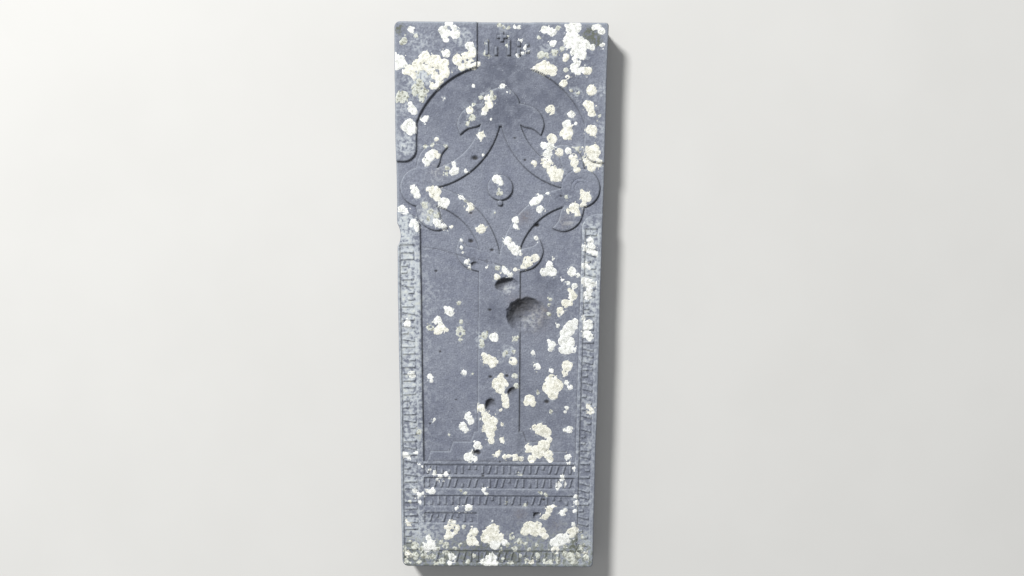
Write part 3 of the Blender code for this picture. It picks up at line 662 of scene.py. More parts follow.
def inscription_runs():
    """Start, direction, length and width of every sunken strip and row."""
    strip_end = FOOT_Y + FOOT_STRIP_MARGIN
    taper = (HEAD_WIDTH - FOOT_WIDTH) / 2 / SLAB_LENGTH
    scale = math.hypot(1, taper)
    left_top = HEAD_Y - LEFT_STRIP_FROM_HEAD
    right_top = HEAD_Y - RIGHT_STRIP_FROM_HEAD
    left_in = LEFT_STRIP_MARGIN + LEFT_STRIP_WIDTH
    right_in = RIGHT_STRIP_MARGIN + RIGHT_STRIP_WIDTH
    up = (-taper / scale, 1 / scale)
    down = (-taper / scale, -1 / scale)
    left_start = (-half_width(strip_end) + left_in, strip_end)
    right_start = (half_width(right_top) - right_in, right_top)
    foot_start = (-half_width(FOOT_Y) + left_in + FOOT_STRIP_GAP, strip_end)
    foot_length = FOOT_WIDTH - left_in - right_in - 2 * FOOT_STRIP_GAP
    runs = [
        (left_start, up, (left_top - strip_end) * scale, LEFT_STRIP_WIDTH),
        (right_start, down, (right_top - strip_end) * scale, RIGHT_STRIP_WIDTH),
        (foot_start, (1, 0), foot_length, FOOT_STRIP_HEIGHT),
    ]
    for top, height in zip(ROW_TOPS_FROM_FOOT, ROW_HEIGHTS):
        low = FOOT_Y + top - height
        left = -half_width(low) + BORDER_LEFT
        right = half_width(low) - BORDER_RIGHT
        length = SHORT_ROW_LENGTH if top == min(ROW_TOPS_FROM_FOOT) else right - left
        runs.append(((left, low), (1, 0), length, height))
    return runs


def run_distances(points, run, turn):
    """Distance to a sunken run, and to the nearest of its strokes. Both are below zero inside."""
    (x, y), (dx, dy), length, width = run
    moved = points - (x, y)
    along = moved @ (dx, dy)
    across = moved @ (-dy, dx)
    beyond = np.abs(along - length / 2) - length / 2
    pocket = np.maximum(beyond, np.abs(across - width / 2) - width / 2)
    count = int((length - STROKE_CLEARANCE) / STROKE_PITCH)
    margin = (length - count * STROKE_PITCH) / 2
    tall = width - 2 * STROKE_CLEARANCE
    nearest = np.full(len(points), REACH)
    place = np.floor((along - margin) / STROKE_PITCH)
    for shift in (-1, 0, 1):
        number = np.clip(place + shift, 0, count - 1)
        mixed = number * number + STROKE_MIX * number + turn + number // STROKE_CYCLE
        kind = mixed % STROKE_KINDS
        low = STROKE_CLEARANCE + np.where(kind == UPPER_KIND, tall * (1 - SHORT_STROKE_SHARE), 0)
        high = STROKE_CLEARANCE + np.where(kind == LOWER_KIND, tall * SHORT_STROKE_SHARE, tall)
        lean = STROKE_LEAN * (kind % LEANING_KINDS == 0)
        middle = margin + (number + 0.5) * STROKE_PITCH
        slant = lean * ((across - low) / (high - low) - 0.5)
        side = np.abs(along - middle - slant) - STROKE_WIDTH / 2
        end = np.abs(across - (low + high) / 2) - (high - low) / 2
        nearest = np.minimum(nearest, np.maximum(side, end))
    return pocket, nearest


def panel_outlines():
    """The strokes, the small cross and the dots in the head panel."""
    foot_y = HEAD_Y - PANEL_MARKS_FROM_HEAD
    half = PANEL_MARK_WIDTH / 2
    marks = [rectangle(x, half, foot_y + up, foot_y + up + length) for x, up, length in PANEL_MARKS]
    end = [(PANEL_CROSS_REACH, -half), (PANEL_CROSS_REACH, half), (half, half)]
    cross = []
    for _ in range(4):
        cross += [(PANEL_CROSS[0] + a, foot_y + PANEL_CROSS[1] + b) for a, b in end]
        end = [(-b, a) for a, b in end]
    return [*marks, cross]


def gap_from(points, x, y):
    """Distance from one place to each of the points."""
    return np.hypot(points[:, 0] - x, points[:, 1] - y)


def ring_gap(points):
    """Distance to the nearest of the circles cut on the right lobe."""
    x, y = LOBE_ALONG * CROSS_REACH, CROSS_Y
    out = gap_from(points, x, y)
    gaps = [np.abs(out - share * LOBE_RADIUS * CROSS_REACH) for share in RING_LINES]
    upper_left = points[:, 1] - y > points[:, 0] - x
    inner = np.where(upper_left, np.minimum(gaps[1], gaps[2]), REACH)
    return np.minimum(gaps[0], inner)


def standing(distance):
    """1 on a form, 0 off it, with a steep wall, a worn shoulder and a slight fall near the edge."""
    wall = 1 - smooth(WALL_TOP, WALL_FOOT, distance)
    worn = np.exp(-np.clip(WALL_TOP - distance, 0, None) / SHOULDER_FALL_WIDTH)
    return wall * (1 - SHOULDER_FALL * worn)


def noise_at(points, name, shift=0):
    """Smooth noise about zero, as NOISE describes it, with its seed shifted."""
    size, seed, height = NOISE[name]
    seed += shift
    return height * np.array([noise.noise(Vector((x / size, y / size, seed))) for x, y in points])


class Carving:
    """Every outline of the carving, worked out once."""

    def __init__(self):
        self.field = field_outline()
        self.cross = cross_outlines()
        self.lobes, self.boss = lobe_outlines()
        self.runs = inscription_runs()
        self.marks = panel_outlines()

    def distances(self, points):
        """Distances to each family of forms, below zero inside."""
        found = {"field": outline_distance(points, self.field)}
        for name in ("cross", "lobes", "boss", "marks"):
            each = [outline_distance(points, outline) for outline in getattr(self, name)]
            found[name] = np.min(each, axis=0)
        pairs = [run_distances(points, run, turn) for turn, run in enumerate(self.runs)]
        found["pockets"] = np.min([pocket for pocket, _ in pairs], axis=0)
        found["strokes"] = np.min([np.where(p < REACH, s, REACH) for p, s in pairs], axis=0)
        x, y = points.T
        crown = HEAD_Y - ARCH_CROWN_FROM_HEAD
        found["panel"] = np.where(y > crown - REACH, np.maximum(-PANEL_LEFT - x, x - PANEL_RIGHT), REACH)
        return found

    def edge(self, points):
        """Signed distance to the nearest change of level, above zero on its low side."""
        d = self.distances(points)
        relief = np.minimum(np.minimum(d["cross"], d["lobes"]), d["boss"])
        in_field = d["field"] < WALL_FOOT
        in_pocket = d["pockets"] < WALL_FOOT
        in_panel = (d["panel"] < 0) & ~in_field
        merged = (relief < -MERGE_DEPTH) | ((d["panel"] < 0) & (points[:, 1] > PANEL_OPENS_Y))
        softness = np.where(points[:, 0] > 0, SOFT_SIDE_FACTOR, 1)
        panel_side = -np.maximum(d["panel"], -REACH) * softness
        sides = [
            np.where(merged, REACH, -d["field"]),
            np.where(in_field, relief, REACH),
            -d["pockets"],
            np.where(in_pocket, d["strokes"], REACH),
            np.where(in_panel, d["marks"], REACH),
            np.where(in_field, REACH, panel_side),
        ]
        sides = np.clip(sides, -REACH, REACH)
        pick = np.argmin(np.abs(sides), axis=0)
        return sides[pick, np.arange(len(points))]

    def slopes(self, points, edge):
        """How fast the distance to the nearest edge grows, across the slab and along it."""
        shifts = ((SLOPE_STEP, 0), (0, SLOPE_STEP))
        return [(self.edge(points + shift) - edge) / SLOPE_STEP for shift in shifts]

    def heights(self, points):
        """Height of the carved face over its own dressed level, and its distances."""
        d = self.distances(points)
        x, y = points.T
        sunk = -FIELD_DEPTH * standing(d["field"] - WALL_FOOT)
        worn_away = STEPS_WORN_SHARE * smooth(*STEPS_WORN_ACROSS, x) * smooth(*STEPS_WORN_ALONG, y)
        relief = -FIELD_DEPTH + RELIEF_HEIGHT * standing(d["cross"]) * (1 - worn_away)
        lobes = -FIELD_DEPTH + (RELIEF_HEIGHT + LOBE_LIFT) * standing(d["lobes"])
        boss = -FIELD_DEPTH + BOSS_HEIGHT * standing(d["boss"])
        z = np.maximum.reduce([sunk, relief, lobes, boss])
        z -= GROOVE_DEPTH * np.exp(-((ring_gap(points) / GROOVE_WIDTH) ** 2)) * (d["field"] < 0)
        right_slope = 1 - smooth(0, PANEL_SOFT_SIDE, x - PANEL_RIGHT + PANEL_SOFT_SIDE)
        panel = -PANEL_DEPTH * standing(-PANEL_LEFT - x) * right_slope
        crown = HEAD_Y - ARCH_CROWN_FROM_HEAD
        deeper = smooth(crown + PANEL_DEEPENS_ABOVE, crown - PANEL_DEEPENS_BELOW, y)
        panel = np.where(d["panel"] < REACH, panel * (1 + deeper * (FIELD_DEPTH / PANEL_DEPTH - 1)), 0)
        marks = -PANEL_DEPTH + PANEL_MARK_HEIGHT * standing(d["marks"])
        z = np.minimum(z, np.maximum(panel, np.where(d["panel"] < 0, marks, FAR_BELOW)))
        pockets = -STRIP_DEPTH * standing(d["pockets"])
        strokes = -STRIP_DEPTH + STROKE_HEIGHT * standing(d["strokes"])
        strokes = np.where(d["pockets"] < 0, strokes, FAR_BELOW)
        return np.minimum(z, np.maximum(pockets, strokes)), d


def from_photo(across, down):
    """A place on the slab, in metres, from a pixel of the photograph."""
    right = (across - PHOTO_SLAB_CENTRE[0]) * PIXEL
    up = (PHOTO_SLAB_CENTRE[1] - down) * PIXEL
    cosine, sine = math.cos(PHOTO_ROLL), math.sin(PHOTO_ROLL)
    return right * cosine - up * sine, right * sine + up * cosine


def circles_from_photo(circles):
    """Circles in metres from their pixels: place, radius, and whatever else they carry."""
    return [(*from_photo(across, down), radius * PIXEL, *rest) for across, down, radius, *rest in circles]


def plan_from_grid(flat, inset):
    """Grid coordinates, each from -1 to 1, laid onto the slab's tapered, rounded plan."""
    s, t = flat.T
    long_half = SLAB_LENGTH / 2 - inset
    y = t * long_half
    half = half_width(y) - inset
    x = s * half
    for (side, end), radius in CORNER_RADII.items():
        dx = side * x - (half - radius)
        dy = end * y - (long_half - radius)
        corner = (dx > 0) & (dy > 0)
        scale = np.where(corner, np.maximum(dx, dy) / np.maximum(np.hypot(dx, dy), TINY), 1)
        x = np.where(corner, side * (half - radius + dx * scale), x)
        y = np.where(corner, end * (long_half - radius + dy * scale), y)
    nick_y, nick_depth, nick_half = EDGE_NICK
    bite = np.clip(1 - ((y - nick_y) / nick_half) ** 2, 0, 1) * np.clip(1 - (x + half) / NICK_REACH, 0, 1)
    x = x + nick_depth * bite * (s < 0)
    hand = np.sign(s)
    wave = np.sin(y * LONG_WAVE + hand) + SHORT_WAVE_SHARE * np.sin(y * SHORT_WAVE + 2 * hand)
    x = x - hand * WAVE_DEPTH * (1 + SHORT_WAVE_SHARE + wave) * np.abs(s) ** WAVE_FADE
    return np.column_stack((x, y))


def hollow_shares(points):
    """For each hollow, 0 at its middle and 1 at its uneven rim."""
    x, y = points.T
    ragged = 1 + noise_at(points, "hollow_rim")
    return [np.hypot((x - mid_x) / a, (y - mid_y) / b) * ragged for mid_x, mid_y, a, b, *_ in HOLLOWS]


def pock_shares(points):
    """For each small pock, its share of the way out, and its depth."""
    found = []
    for x, y, r in circles_from_photo(POCKS):
        share = np.hypot((points[:, 0] - x) / r, (points[:, 1] - y) / (POCK_LENGTH * r))
        found.append((share, POCK_DEPTH * r))
    return found


def line_distance(points, line):
    """Distance to an open line of points."""
    best = np.full(len(points), REACH)
    for start, end in zip(line[:-1], line[1:]):
        start, run = np.array(start), np.subtract(end, start)
        share = np.clip((points - start) @ run / (run @ run), 0, 1)
        best = np.minimum(best, np.linalg.norm(points - start - share[:, None] * run, axis=1))
    return best


def crack_distance(points):
    """Distance to the hairline crack."""
    return line_distance(points, [from_photo(*place) for place in CRACK])


def stone_heights(points, carving):
    """Height of the weathered stone at each place of the plan, and the carving's distances."""
    z, d = carving.heights(points)
    rim = -FIELD_DEPTH + RELIEF_HEIGHT
    for number, (share, hollow) in enumerate(zip(hollow_shares(points), HOLLOWS)):
        x, y, a, b, depth, rise_x, rise_y = hollow
        rise = rise_x * (points[:, 0] - x) / a + rise_y * (points[:, 1] - y) / b
        lean = 1 - HOLLOW_LEAN * np.clip(rise, -1, 1)
        chips = noise_at(points, "chips", number) + noise_at(points, "fine_chips")
        bowl = np.where(number < HOLLOWS_IN_CROSS, rim, z)
        bowl = bowl - depth * lean * np.clip(1 - share**2, 0, 1) ** HOLLOW_ROUNDING
        bowl = bowl + chips * (share < CHIPPED_SHARE)
        z = np.where(share < 1, np.minimum(z, bowl), z)
    for share, depth in pock_shares(points):
        z = z - depth * np.clip(1 - share**2, 0, 1)
    z = z - CRACK_DEPTH * np.exp(-((crack_distance(points) / CRACK_WIDTH) ** 2))
    swell = noise_at(points, "swell") + noise_at(points, "ripple")
    grain = noise_at(points, "grain") + noise_at(points, "fine_grain")
    return FACE_Z + z + swell + grain - SWELL_ROOM, d


def warped(points, amount, name):
    """The places moved about by smooth noise."""
    drift = [noise_at(points, name, shift) for shift in (0, WARP_SEED)]
    return points + amount * np.column_stack(drift)


def inside_circles(points, circles):
    """How far inside the nearest circle each place lies, and below zero outside them all."""
    inside = np.full(len(points), -REACH)
    for x, y, radius in circles_from_photo(circles):
        inside = np.maximum(inside, radius - gap_from(points, x, y))
    return inside


def colony_cover(points, colonies, lobing):
    """How far inside a colony's lobed rim each place lies, in metres, and below zero outside."""
    inside = inside_circles(points, colonies)
    near = inside > -LOBING_REACH * lobing
    close = points[near]
    moved = warped(warped(close, lobing, "lobes"), SMALL_LOBING * lobing, "small_lobes")
    rims = inside_circles(moved, colonies) - COLONY_INSET
    rims = rims + SPECK_LOBING * lobing * noise_at(close, "specks")
    holes = HOLE_SCALE * (HOLE_RARITY - noise_at(close, "holes")) + HOLE_CLOSING * np.clip(rims, 0, None)
    satellites = SATELLITE_SCALE * (noise_at(close, "satellites") - SATELLITE_RARITY)
    satellites = np.minimum(satellites, SATELLITE_REACH + inside[near])
    inside[near] = np.maximum(np.minimum(rims, holes), satellites)
    inside[~near] = np.minimum(inside[~near], -FAR_LOBING * lobing)
    return inside


def linear(code):
    """A linear colour from an sRGB hex code."""
    parts = [int(code[i : i + 2], 16) / 255 for i in (1, 3, 5)]
    return (*[c / 12.92 if c <= 0.04045 else ((c + 0.055) / 1.055) ** 2.4 for c in parts], 1)


def add_node(tree, kind, settings=None, sockets=None, output=0):
    """Add a node, set it up, fill its sockets with values or links, and give one of its outputs."""
    node = tree.nodes.new(kind)
    for name, value in (settings or {}).items():
        setattr(node, name, value)
    for key, value in (sockets or {}).items():
        if isinstance(value, bpy.types.NodeSocket):
            tree.links.new(value, node.inputs[key])
        else:
            node.inputs[key].default_value = value
    return node.outputs[output]


def start_material(name, attributes, grains):
    """A material with its masks: the piece's attributes, and grains of a real size in metres."""
    material = bpy.data.materials.new(name)
    material.use_nodes = True
    tree = material.node_tree
    masks = {"place": add_node(tree, "ShaderNodeTexCoord", output="Object")}
    for attribute in attributes:
        masks[attribute] = add_node(tree, "ShaderNodeAttribute", {"attribute_name": attribute}, output="Fac")
    for grain, size, low, high, detail in grains:
        sockets = {"Vector": masks["place"], "Scale": 1 / size, "Detail": detail}
        sockets["Roughness"] = GRAIN_ROUGHNESS
        height = add_node(tree, "ShaderNodeTexNoise", None, sockets, "Fac")
        masks[grain] = add_node(tree, "ShaderNodeMapRange", SOFT_RAMP, {0: height, 1: low, 2: high})
    return material, tree, masks


def finish_material(tree, base, layers, bumps):
    """Lay the colours over the base, each where both its masks show it, and raise the grains."""
    shader = tree.nodes["Principled BSDF"]
    colour = base
    for first, second, paint in layers:
        both = {"operation": "MULTIPLY", "use_clamp": True}
        share = add_node(tree, "ShaderNodeMath", both, {0: first, 1: second})
        # Sockets 6 and 7 of a mix hold its two colours, and its output 2 their mixture
        mixed = {0: share, 6: colour, 7: paint}
        colour = add_node(tree, "ShaderNodeMix", {"data_type": "RGBA"}, mixed, 2)
    tree.links.new(colour, shader.inputs["Base Color"])
    raised = {}
    for height, strength, distance in bumps:
        sockets = {"Strength": strength, "Distance": distance, "Height": height, **raised}
        raised = {"Normal": add_node(tree, "ShaderNodeBump", None, sockets)}
        tree.links.new(raised["Normal"], shader.inputs["Normal"])


def limestone(settings):
    """Fine blue-grey limestone, rubbed and weathered.

    It is matt, with dark grit, pale rubbed beds, and a dust of pale lichen that breaks up in
    patches, which on two hollow floors is painted light. Its arrises are worn pale, with a painted
    highlight where they face the light, and soil and painted shade darken the foot of its walls and its
    hollows.
    """
    # Blue limestone, dressed, then worn outdoors: matt grey-blue with grit, pale beds and edges, with
    # painted highlight and shade by the carving's walls and painted light on two hollow floors
    attributes = ("film_and_light", "wear_and_highlight", "dirt_and_shade", "damp", "tone", "stain")
    material, tree, masks = start_material("weathered_blue_limestone", attributes, STONE_GRAINS)
    for name, cover, low, high in GROWTHS:
        sockets = {0: masks[cover], 1: 0.5, 2: masks["patch"]}
        height = add_node(tree, "ShaderNodeMath", {"operation": "MULTIPLY_ADD"}, sockets)
        masks[name] = add_node(tree, "ShaderNodeMapRange", SOFT_RAMP, {0: height, 1: low, 2: high})
    hollow_grain = add_node(tree, "ShaderNodeMath", {"operation": "SUBTRACT"}, {0: 1.0, 1: masks["patch"]})
    layers = (
        (masks["broad"], 0.50, settings.stone_colour_pale),
        (masks["tone"], 1.0, settings.stone_colour_dark),
        (masks["blotch"], 0.55, settings.stone_colour_pale),
        (hollow_grain, 0.30, settings.grit_colour),
        (masks["grit"], 0.50, settings.grit_colour),
        (masks["speck"], 0.45, settings.speck_colour),
        # Film, dust and chalk, which also lay painted light on two hollow floors
        (masks["dust"], masks["film_and_light"], settings.film_and_light_colour),
        (masks["chalk"], 0.85, settings.dust_and_light_colour),
        (masks["stain"], masks["patch"], settings.stain_colour),
        # Worn edges, with a painted highlight where they face the light
        (masks["wear_and_highlight"], 0.65, settings.worn_and_highlight_colour),
        (masks["moss"], masks["damp"], settings.damp_colour),
        (masks["pit"], 0.50, settings.dirt_and_shade_colour),
        # Soil and painted shade: dark at the foot of the walls, in the hollows and in the pocks
        (masks["dirt_and_shade"], 1.0, settings.dirt_and_shade_colour),
    )
    finish_material(tree, settings.stone_colour, layers, (
        (masks["grit"], 0.5, 0.0012),
        (masks["patch"], 0.5, 0.0018),
    ))
    smoothest, roughest = STONE_ROUGHNESS
    ends = {0: masks["blotch"], 3: smoothest, 4: roughest}
    rough = add_node(tree, "ShaderNodeMapRange", None, ends)
    tree.links.new(rough, tree.nodes["Principled BSDF"].inputs["Roughness"])
    return material


def lichen(settings):
    """Dry crusty lichen, from chalk white to cream and grey.

    It has no shine. Fine cracks part it into small plates, and dark grains dot the older parts.
    """
    # Lichen, grown and dried: a dull chalky crust, parted into plates and grey where it is old
    attributes = ("cover", "cream", "grey")
    material, tree, masks = start_material("chalky_crust_lichen", attributes, LICHEN_GRAINS)
    cells = {"Vector": masks["place"], "Scale": 1 / settings.plate_size}
    plates = add_node(tree, "ShaderNodeTexVoronoi", {"feature": "DISTANCE_TO_EDGE"}, cells, "Distance")
    cracks = add_node(tree, "ShaderNodeMapRange", None, {0: plates, 1: 0.02, 2: 0.18, 3: 0.75, 4: 0.0})
    both = {0: masks["cover"], 1: masks["grain"]}
    middle = add_node(tree, "ShaderNodeMath", {"operation": "MULTIPLY"}, both)
    layers = (
        (masks["patch"], 0.35, settings.dull_white),
        (masks["cream"], 0.45, settings.cream),
        (masks["cream"], masks["patch"], settings.cream),
        (masks["grey"], 0.85, settings.grey),
        (masks["grey"], masks["grain"], settings.crack),
        (cracks, masks["patch"], settings.crack),
        (masks["grain"], 0.22, settings.crack),
        (middle, 0.40, settings.crack),
    )
    finish_material(tree, settings.white, layers, ((plates, 0.7, 0.0022), (masks["grain"], 0.4, 0.0010)))
    tree.nodes["Principled BSDF"].inputs["Roughness"].default_value = LICHEN_ROUGHNESS
    return material


def studio_floor(settings):
    """Painted board, rolled matt, with the faint clouds that a roller leaves."""
    # Board, painted with a roller: even, matt and pale, so that the stone stands out
    material, tree, masks = start_material("matt_painted_board", (), FLOOR_GRAINS)
    finish_material(tree, settings.floor_colour, ((masks["cloud"], 0.06, settings.cloud_colour),), ())
    tree.nodes["Principled BSDF"].inputs["Roughness"].default_value = FLOOR_ROUGHNESS
    return material


def set_attribute(mesh, name, values):
    """A value for each point of the mesh, for the material to read."""
    layer = mesh.attributes.new(name, "FLOAT", "POINT")
    layer.data.foreach_set("value", np.asarray(values, np.float32))


def finished_mesh(bm, name):
    """A mesh from a bmesh that is done with."""
    mesh = bpy.data.meshes.new(name)
    bm.to_mesh(mesh)
    bm.free()
    return mesh


def mesh_points(mesh):
    """The mesh's points as an array."""
    points = np.empty(len(mesh.vertices) * 3, np.float32)
    mesh.vertices.foreach_get("co", points)
    return points.reshape(-1, 3).astype(float)


def finish_piece(name, mesh, points, material):
    """Put the points in place and hand the piece to the frame."""
    mesh.vertices.foreach_set("co", points.astype(np.float32).ravel())
    mesh.materials.append(material)
    mesh.shade_smooth()
    mesh.update()
    piece = bpy.data.objects.new(name, mesh)
    bpy.context.scene.collection.objects.link(piece)
    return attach(piece, "root")


def face_centres(bm):
    """The grid coordinates of each face's centre."""
    return np.array([face.calc_center_median()[:2] for face in bm.faces])


def only(geometry, kind):
    """The parts of one kind among what an operator has made."""
    return [part for part in geometry if isinstance(part, kind)]


def refine(bm, wanted):
    """Cut each wanted face in four. The cuts close up in the faces beside them."""
    edges = {edge for face, take in zip(bm.faces, wanted) if take for edge in face.edges}
    bmesh.ops.subdivide_edges(bm, edges=list(edges), cuts=1, use_grid_fill=True)


def new_grid(cell):
    """A flat grid from -1 to 1 whose cells cover about the given size on the slab."""
    bm = bmesh.new()
    across, along = round(HEAD_WIDTH / cell), round(SLAB_LENGTH / cell)
    bmesh.ops.create_grid(bm, x_segments=across, y_segments=along, size=1)
    return bm


def stone_grid(carving, settings):
    """The flat grid of the stone, finer by every edge of the carving, with sides and underside."""
    bm = new_grid(settings.cell_size)
    for cut in CUTS:
        centres = face_centres(bm)
        plan = plan_from_grid(centres, ARRIS)
        wanted = np.abs(carving.edge(plan)) < settings.cell_size * cut["edge"]
        wanted |= ring_gap(plan) < settings.cell_size * cut["ring"]
        wanted |= crack_distance(plan) < settings.cell_size * cut["crack"]
        wanted |= np.min(hollow_shares(plan), axis=0) < cut["hollow"]
        wanted |= np.min([share for share, _ in pock_shares(plan)], axis=0) < cut["pock"]
        wanted |= np.abs(centres).max(axis=1) > cut["border"]
        refine(bm, wanted)
    rim = [edge for edge in bm.edges if edge.is_boundary]
    for _ in SIDE_RINGS:
        ring = bmesh.ops.extrude_edge_only(bm, edges=rim)["geom"]
        bmesh.ops.translate(bm, vec=(0, 0, -1), verts=only(ring, bmesh.types.BMVert))
        rim = only(ring, bmesh.types.BMEdge)
    bmesh.ops.contextual_create(bm, geom=rim)
    bmesh.ops.triangulate(bm, faces=[face for face in bm.faces if len(face.verts) > 4])
    bmesh.ops.recalc_face_normals(bm, faces=bm.faces)
    return bm


def snap_to_edges(plan, carving, limit):
    """Move points that lie by a wall of the carving onto its top or foot line."""
    edge = carving.edge(plan)
    near = np.abs(edge) < limit
    close = plan[near]
    slope = np.column_stack(carving.slopes(close, edge[near]))
    slope /= np.maximum(np.linalg.norm(slope, axis=1, keepdims=True), LEAST_SLOPE)
    target = np.where(edge[near] > WALL_MIDDLE, WALL_FOOT, WALL_TOP)
    plan[near] = close + slope * (target - edge[near])[:, None]
    return plan


def make_stone(settings):
    """The whole stone as one closed mesh: carved face, worn arrises, dressed sides, flat underside."""
    carving = Carving()
    bm = stone_grid(carving, settings)
    mesh = finished_mesh(bm, "carved_stone")
    flat = mesh_points(mesh)
    level = np.rint(-flat[:, 2]).astype(int)
    top = plan_from_grid(flat[:, :2], ARRIS)
    on_face = level == 0
    free = on_face & (np.abs(flat[:, :2]).max(axis=1) < INSIDE_RIM)
    top[free] = snap_to_edges(top[free], carving, settings.cell_size * SNAP_SHARE)
    z, d = stone_heights(top, carving)
    points = np.column_stack((top, z))
    rough = noise_at(flat[:, :2] * (HEAD_WIDTH, SLAB_LENGTH), "sides")
    for number, (share, inset) in enumerate(SIDE_RINGS, start=1):
        ring = level == number
        height = z[ring] * (1 - share)
        tooled = noise_at(np.column_stack((top[ring].sum(axis=1), height)), "tooling")
        batter = BATTER * math.sin(math.pi * share) * (1 + rough[ring]) + TOOLING * share * (1 + tooled)
        moved = [plan_from_grid(flat[ring, :2], inset + extra) for extra in (0, PLAN_STEP)]
        inward = (moved[1] - moved[0]) / PLAN_STEP
        points[ring, :2] = moved[0] + inward * (batter * (share < 1))[:, None]
        points[ring, 2] = height
    edge = carving.edge(top)
    # How far each wall turns from the light, which sets the painted highlight and the painted shade
    falls = carving.slopes(top, edge)
    away = np.clip(falls[0] * -LIGHT_FROM[0] + falls[1] * -LIGHT_FROM[1], -1, 1)
    set_stone_masks(mesh, top, edge, away, d, level)
    stone = finish_piece("carved_stone", mesh, points, limestone(settings))
    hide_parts(NODE)


def blobs(plan, places):
    """Soft round areas, by pixel of the photograph: across, down, radius, strength."""
    total = np.zeros(len(plan))
    for x, y, r, strength in circles_from_photo(places):
        total += strength * np.exp(-((plan[:, 0] - x) ** 2 + (plan[:, 1] - y) ** 2) / (r * r))
    return total


def set_stone_masks(mesh, plan, edge, away, distances, level):
    """Where the stone is worn, dirty, damp or filmed over, for its material, with painted highlight and
    shade by the walls, a painted shadow in the hollows, and painted light on two hollow floors.
    """
    x, y = plan.T
    on_face = level == 0
    high = np.where(distances["field"] > 0, 1, 0) * (distances["panel"] > 0)
    # The film also lays painted light on the floors of two hollows, where they face the light
    film_and_light = np.clip(blobs(plan, FILMED_AND_LIT) * (FILM_BELOW + (1 - FILM_BELOW) * high), 0, 1)
    crusts = colony_cover(plan, WHITE_COLONIES + CREAM_COLONIES + GREY_COLONIES, HALO_LOBING)
    film_and_light = np.maximum(film_and_light, HALO_SHARE * smooth(-HALO_WIDTH, 0, crusts))
    set_attribute(mesh, "film_and_light", film_and_light * on_face)

    # Painted highlight: worn edges are paler still where they face the light
    lit = WEAR_UNLIT + (1 - WEAR_UNLIT) * np.clip(-away, 0, 1)
    wear_and_highlight = np.where(edge < 0, np.exp(edge / WEAR_WIDTH) * lit, 0)
    rim_gap = np.minimum(half_width(y) - np.abs(x), SLAB_LENGTH / 2 - np.abs(y))
    wear_and_highlight = wear_and_highlight + np.exp(-np.clip(rim_gap - ARRIS, 0, 1) / RIM_WEAR_WIDTH)
    set_attribute(mesh, "wear_and_highlight", np.clip(wear_and_highlight, 0, 1) * on_face)
    set_attribute(mesh, "dirt_and_shade", wall_and_hollow_dirt_and_shade(plan, edge, away, distances) * on_face)

    damp = np.maximum(FOOT_DAMP * smooth(*FOOT_DAMP_ALONG, y), blobs(plan, MOSSED))
    set_attribute(mesh, "damp", np.clip(damp * on_face + SIDE_DAMP * (level > 1), 0, 1))
    set_attribute(mesh, "tone", np.clip(blobs(plan, DARKER), 0, MOST_DARK))
    set_attribute(mesh, "stain", np.clip(blobs(plan, STAINED), 0, MOST_STAIN) * on_face)


def wall_and_hollow_dirt_and_shade(plan, edge, away, distances):
    """Soil and painted shade at the foot of the walls, soil and a painted shadow in the hollows, darkening
    in the pocks, and soil in the crack.
    """
    x, y = plan.T
    # Painted shade: the foot of a wall turned from the light is painted darker
    shade = np.clip(away, 0, 1)
    by_walls, in_strips = (base + rise * shade for base, rise in (DIRT_AND_SHADE_BY_WALLS, DIRT_AND_SHADE_IN_STRIPS))
    shaded = np.where(distances["pockets"] < 0, in_strips, by_walls)
    dirt_and_shade = np.where(edge > 0, np.exp(-np.clip(edge - WALL_FOOT, 0, 1) / DIRT_AND_SHADE_WIDTH), 0) * shaded
    # Soil in the hollows, with a painted shadow on the side of each towards the light, which lies in its own
    # shadow
    least, more = DIRT_AND_SHADE_IN_HOLLOWS
    for share, (mid_x, mid_y, *_) in zip(hollow_shares(plan), HOLLOWS):
        toward = (x - mid_x) * LIGHT_FROM[0] + (y - mid_y) * LIGHT_FROM[1]
        toward = toward / np.maximum(gap_from(plan, mid_x, mid_y), TINY) * share
        shadow_side = smooth(*HOLLOW_SHADOW_SIDE, toward)
        dirt_and_shade = np.maximum(dirt_and_shade, (least + more * shadow_side) * smooth(*HOLLOW_DIRT_AND_SHADE_RIM, share))
    # Pocks are darkened towards their middle
    for share, _ in pock_shares(plan):
        dirt_and_shade = np.maximum(dirt_and_shade, DARKENING_IN_POCKS * smooth(*POCK_DARKENING_RIM, share))
    in_crack = DIRT_IN_CRACK * np.exp(-((crack_distance(plan) / CRACK_DIRT_WIDTH) ** 2))
    return np.maximum(dirt_and_shade, in_crack)


def crust_cover(covers, plan):
    """The kinds of lichen together, the grey one ragged, less the places where crust has fallen out."""
    white, cream, grey = covers
    ragged = grey + noise_at(plan, "grey_rim") - GREY_INSET
    cover = np.maximum.reduce([white, cream, ragged])
    uneven = noise_at(plan, "fallen_rim")
    for x, y, radius in circles_from_photo(CRUST_GAPS):
        cover = np.minimum(cover, gap_from(plan, x, y) - radius + uneven)
    return cover


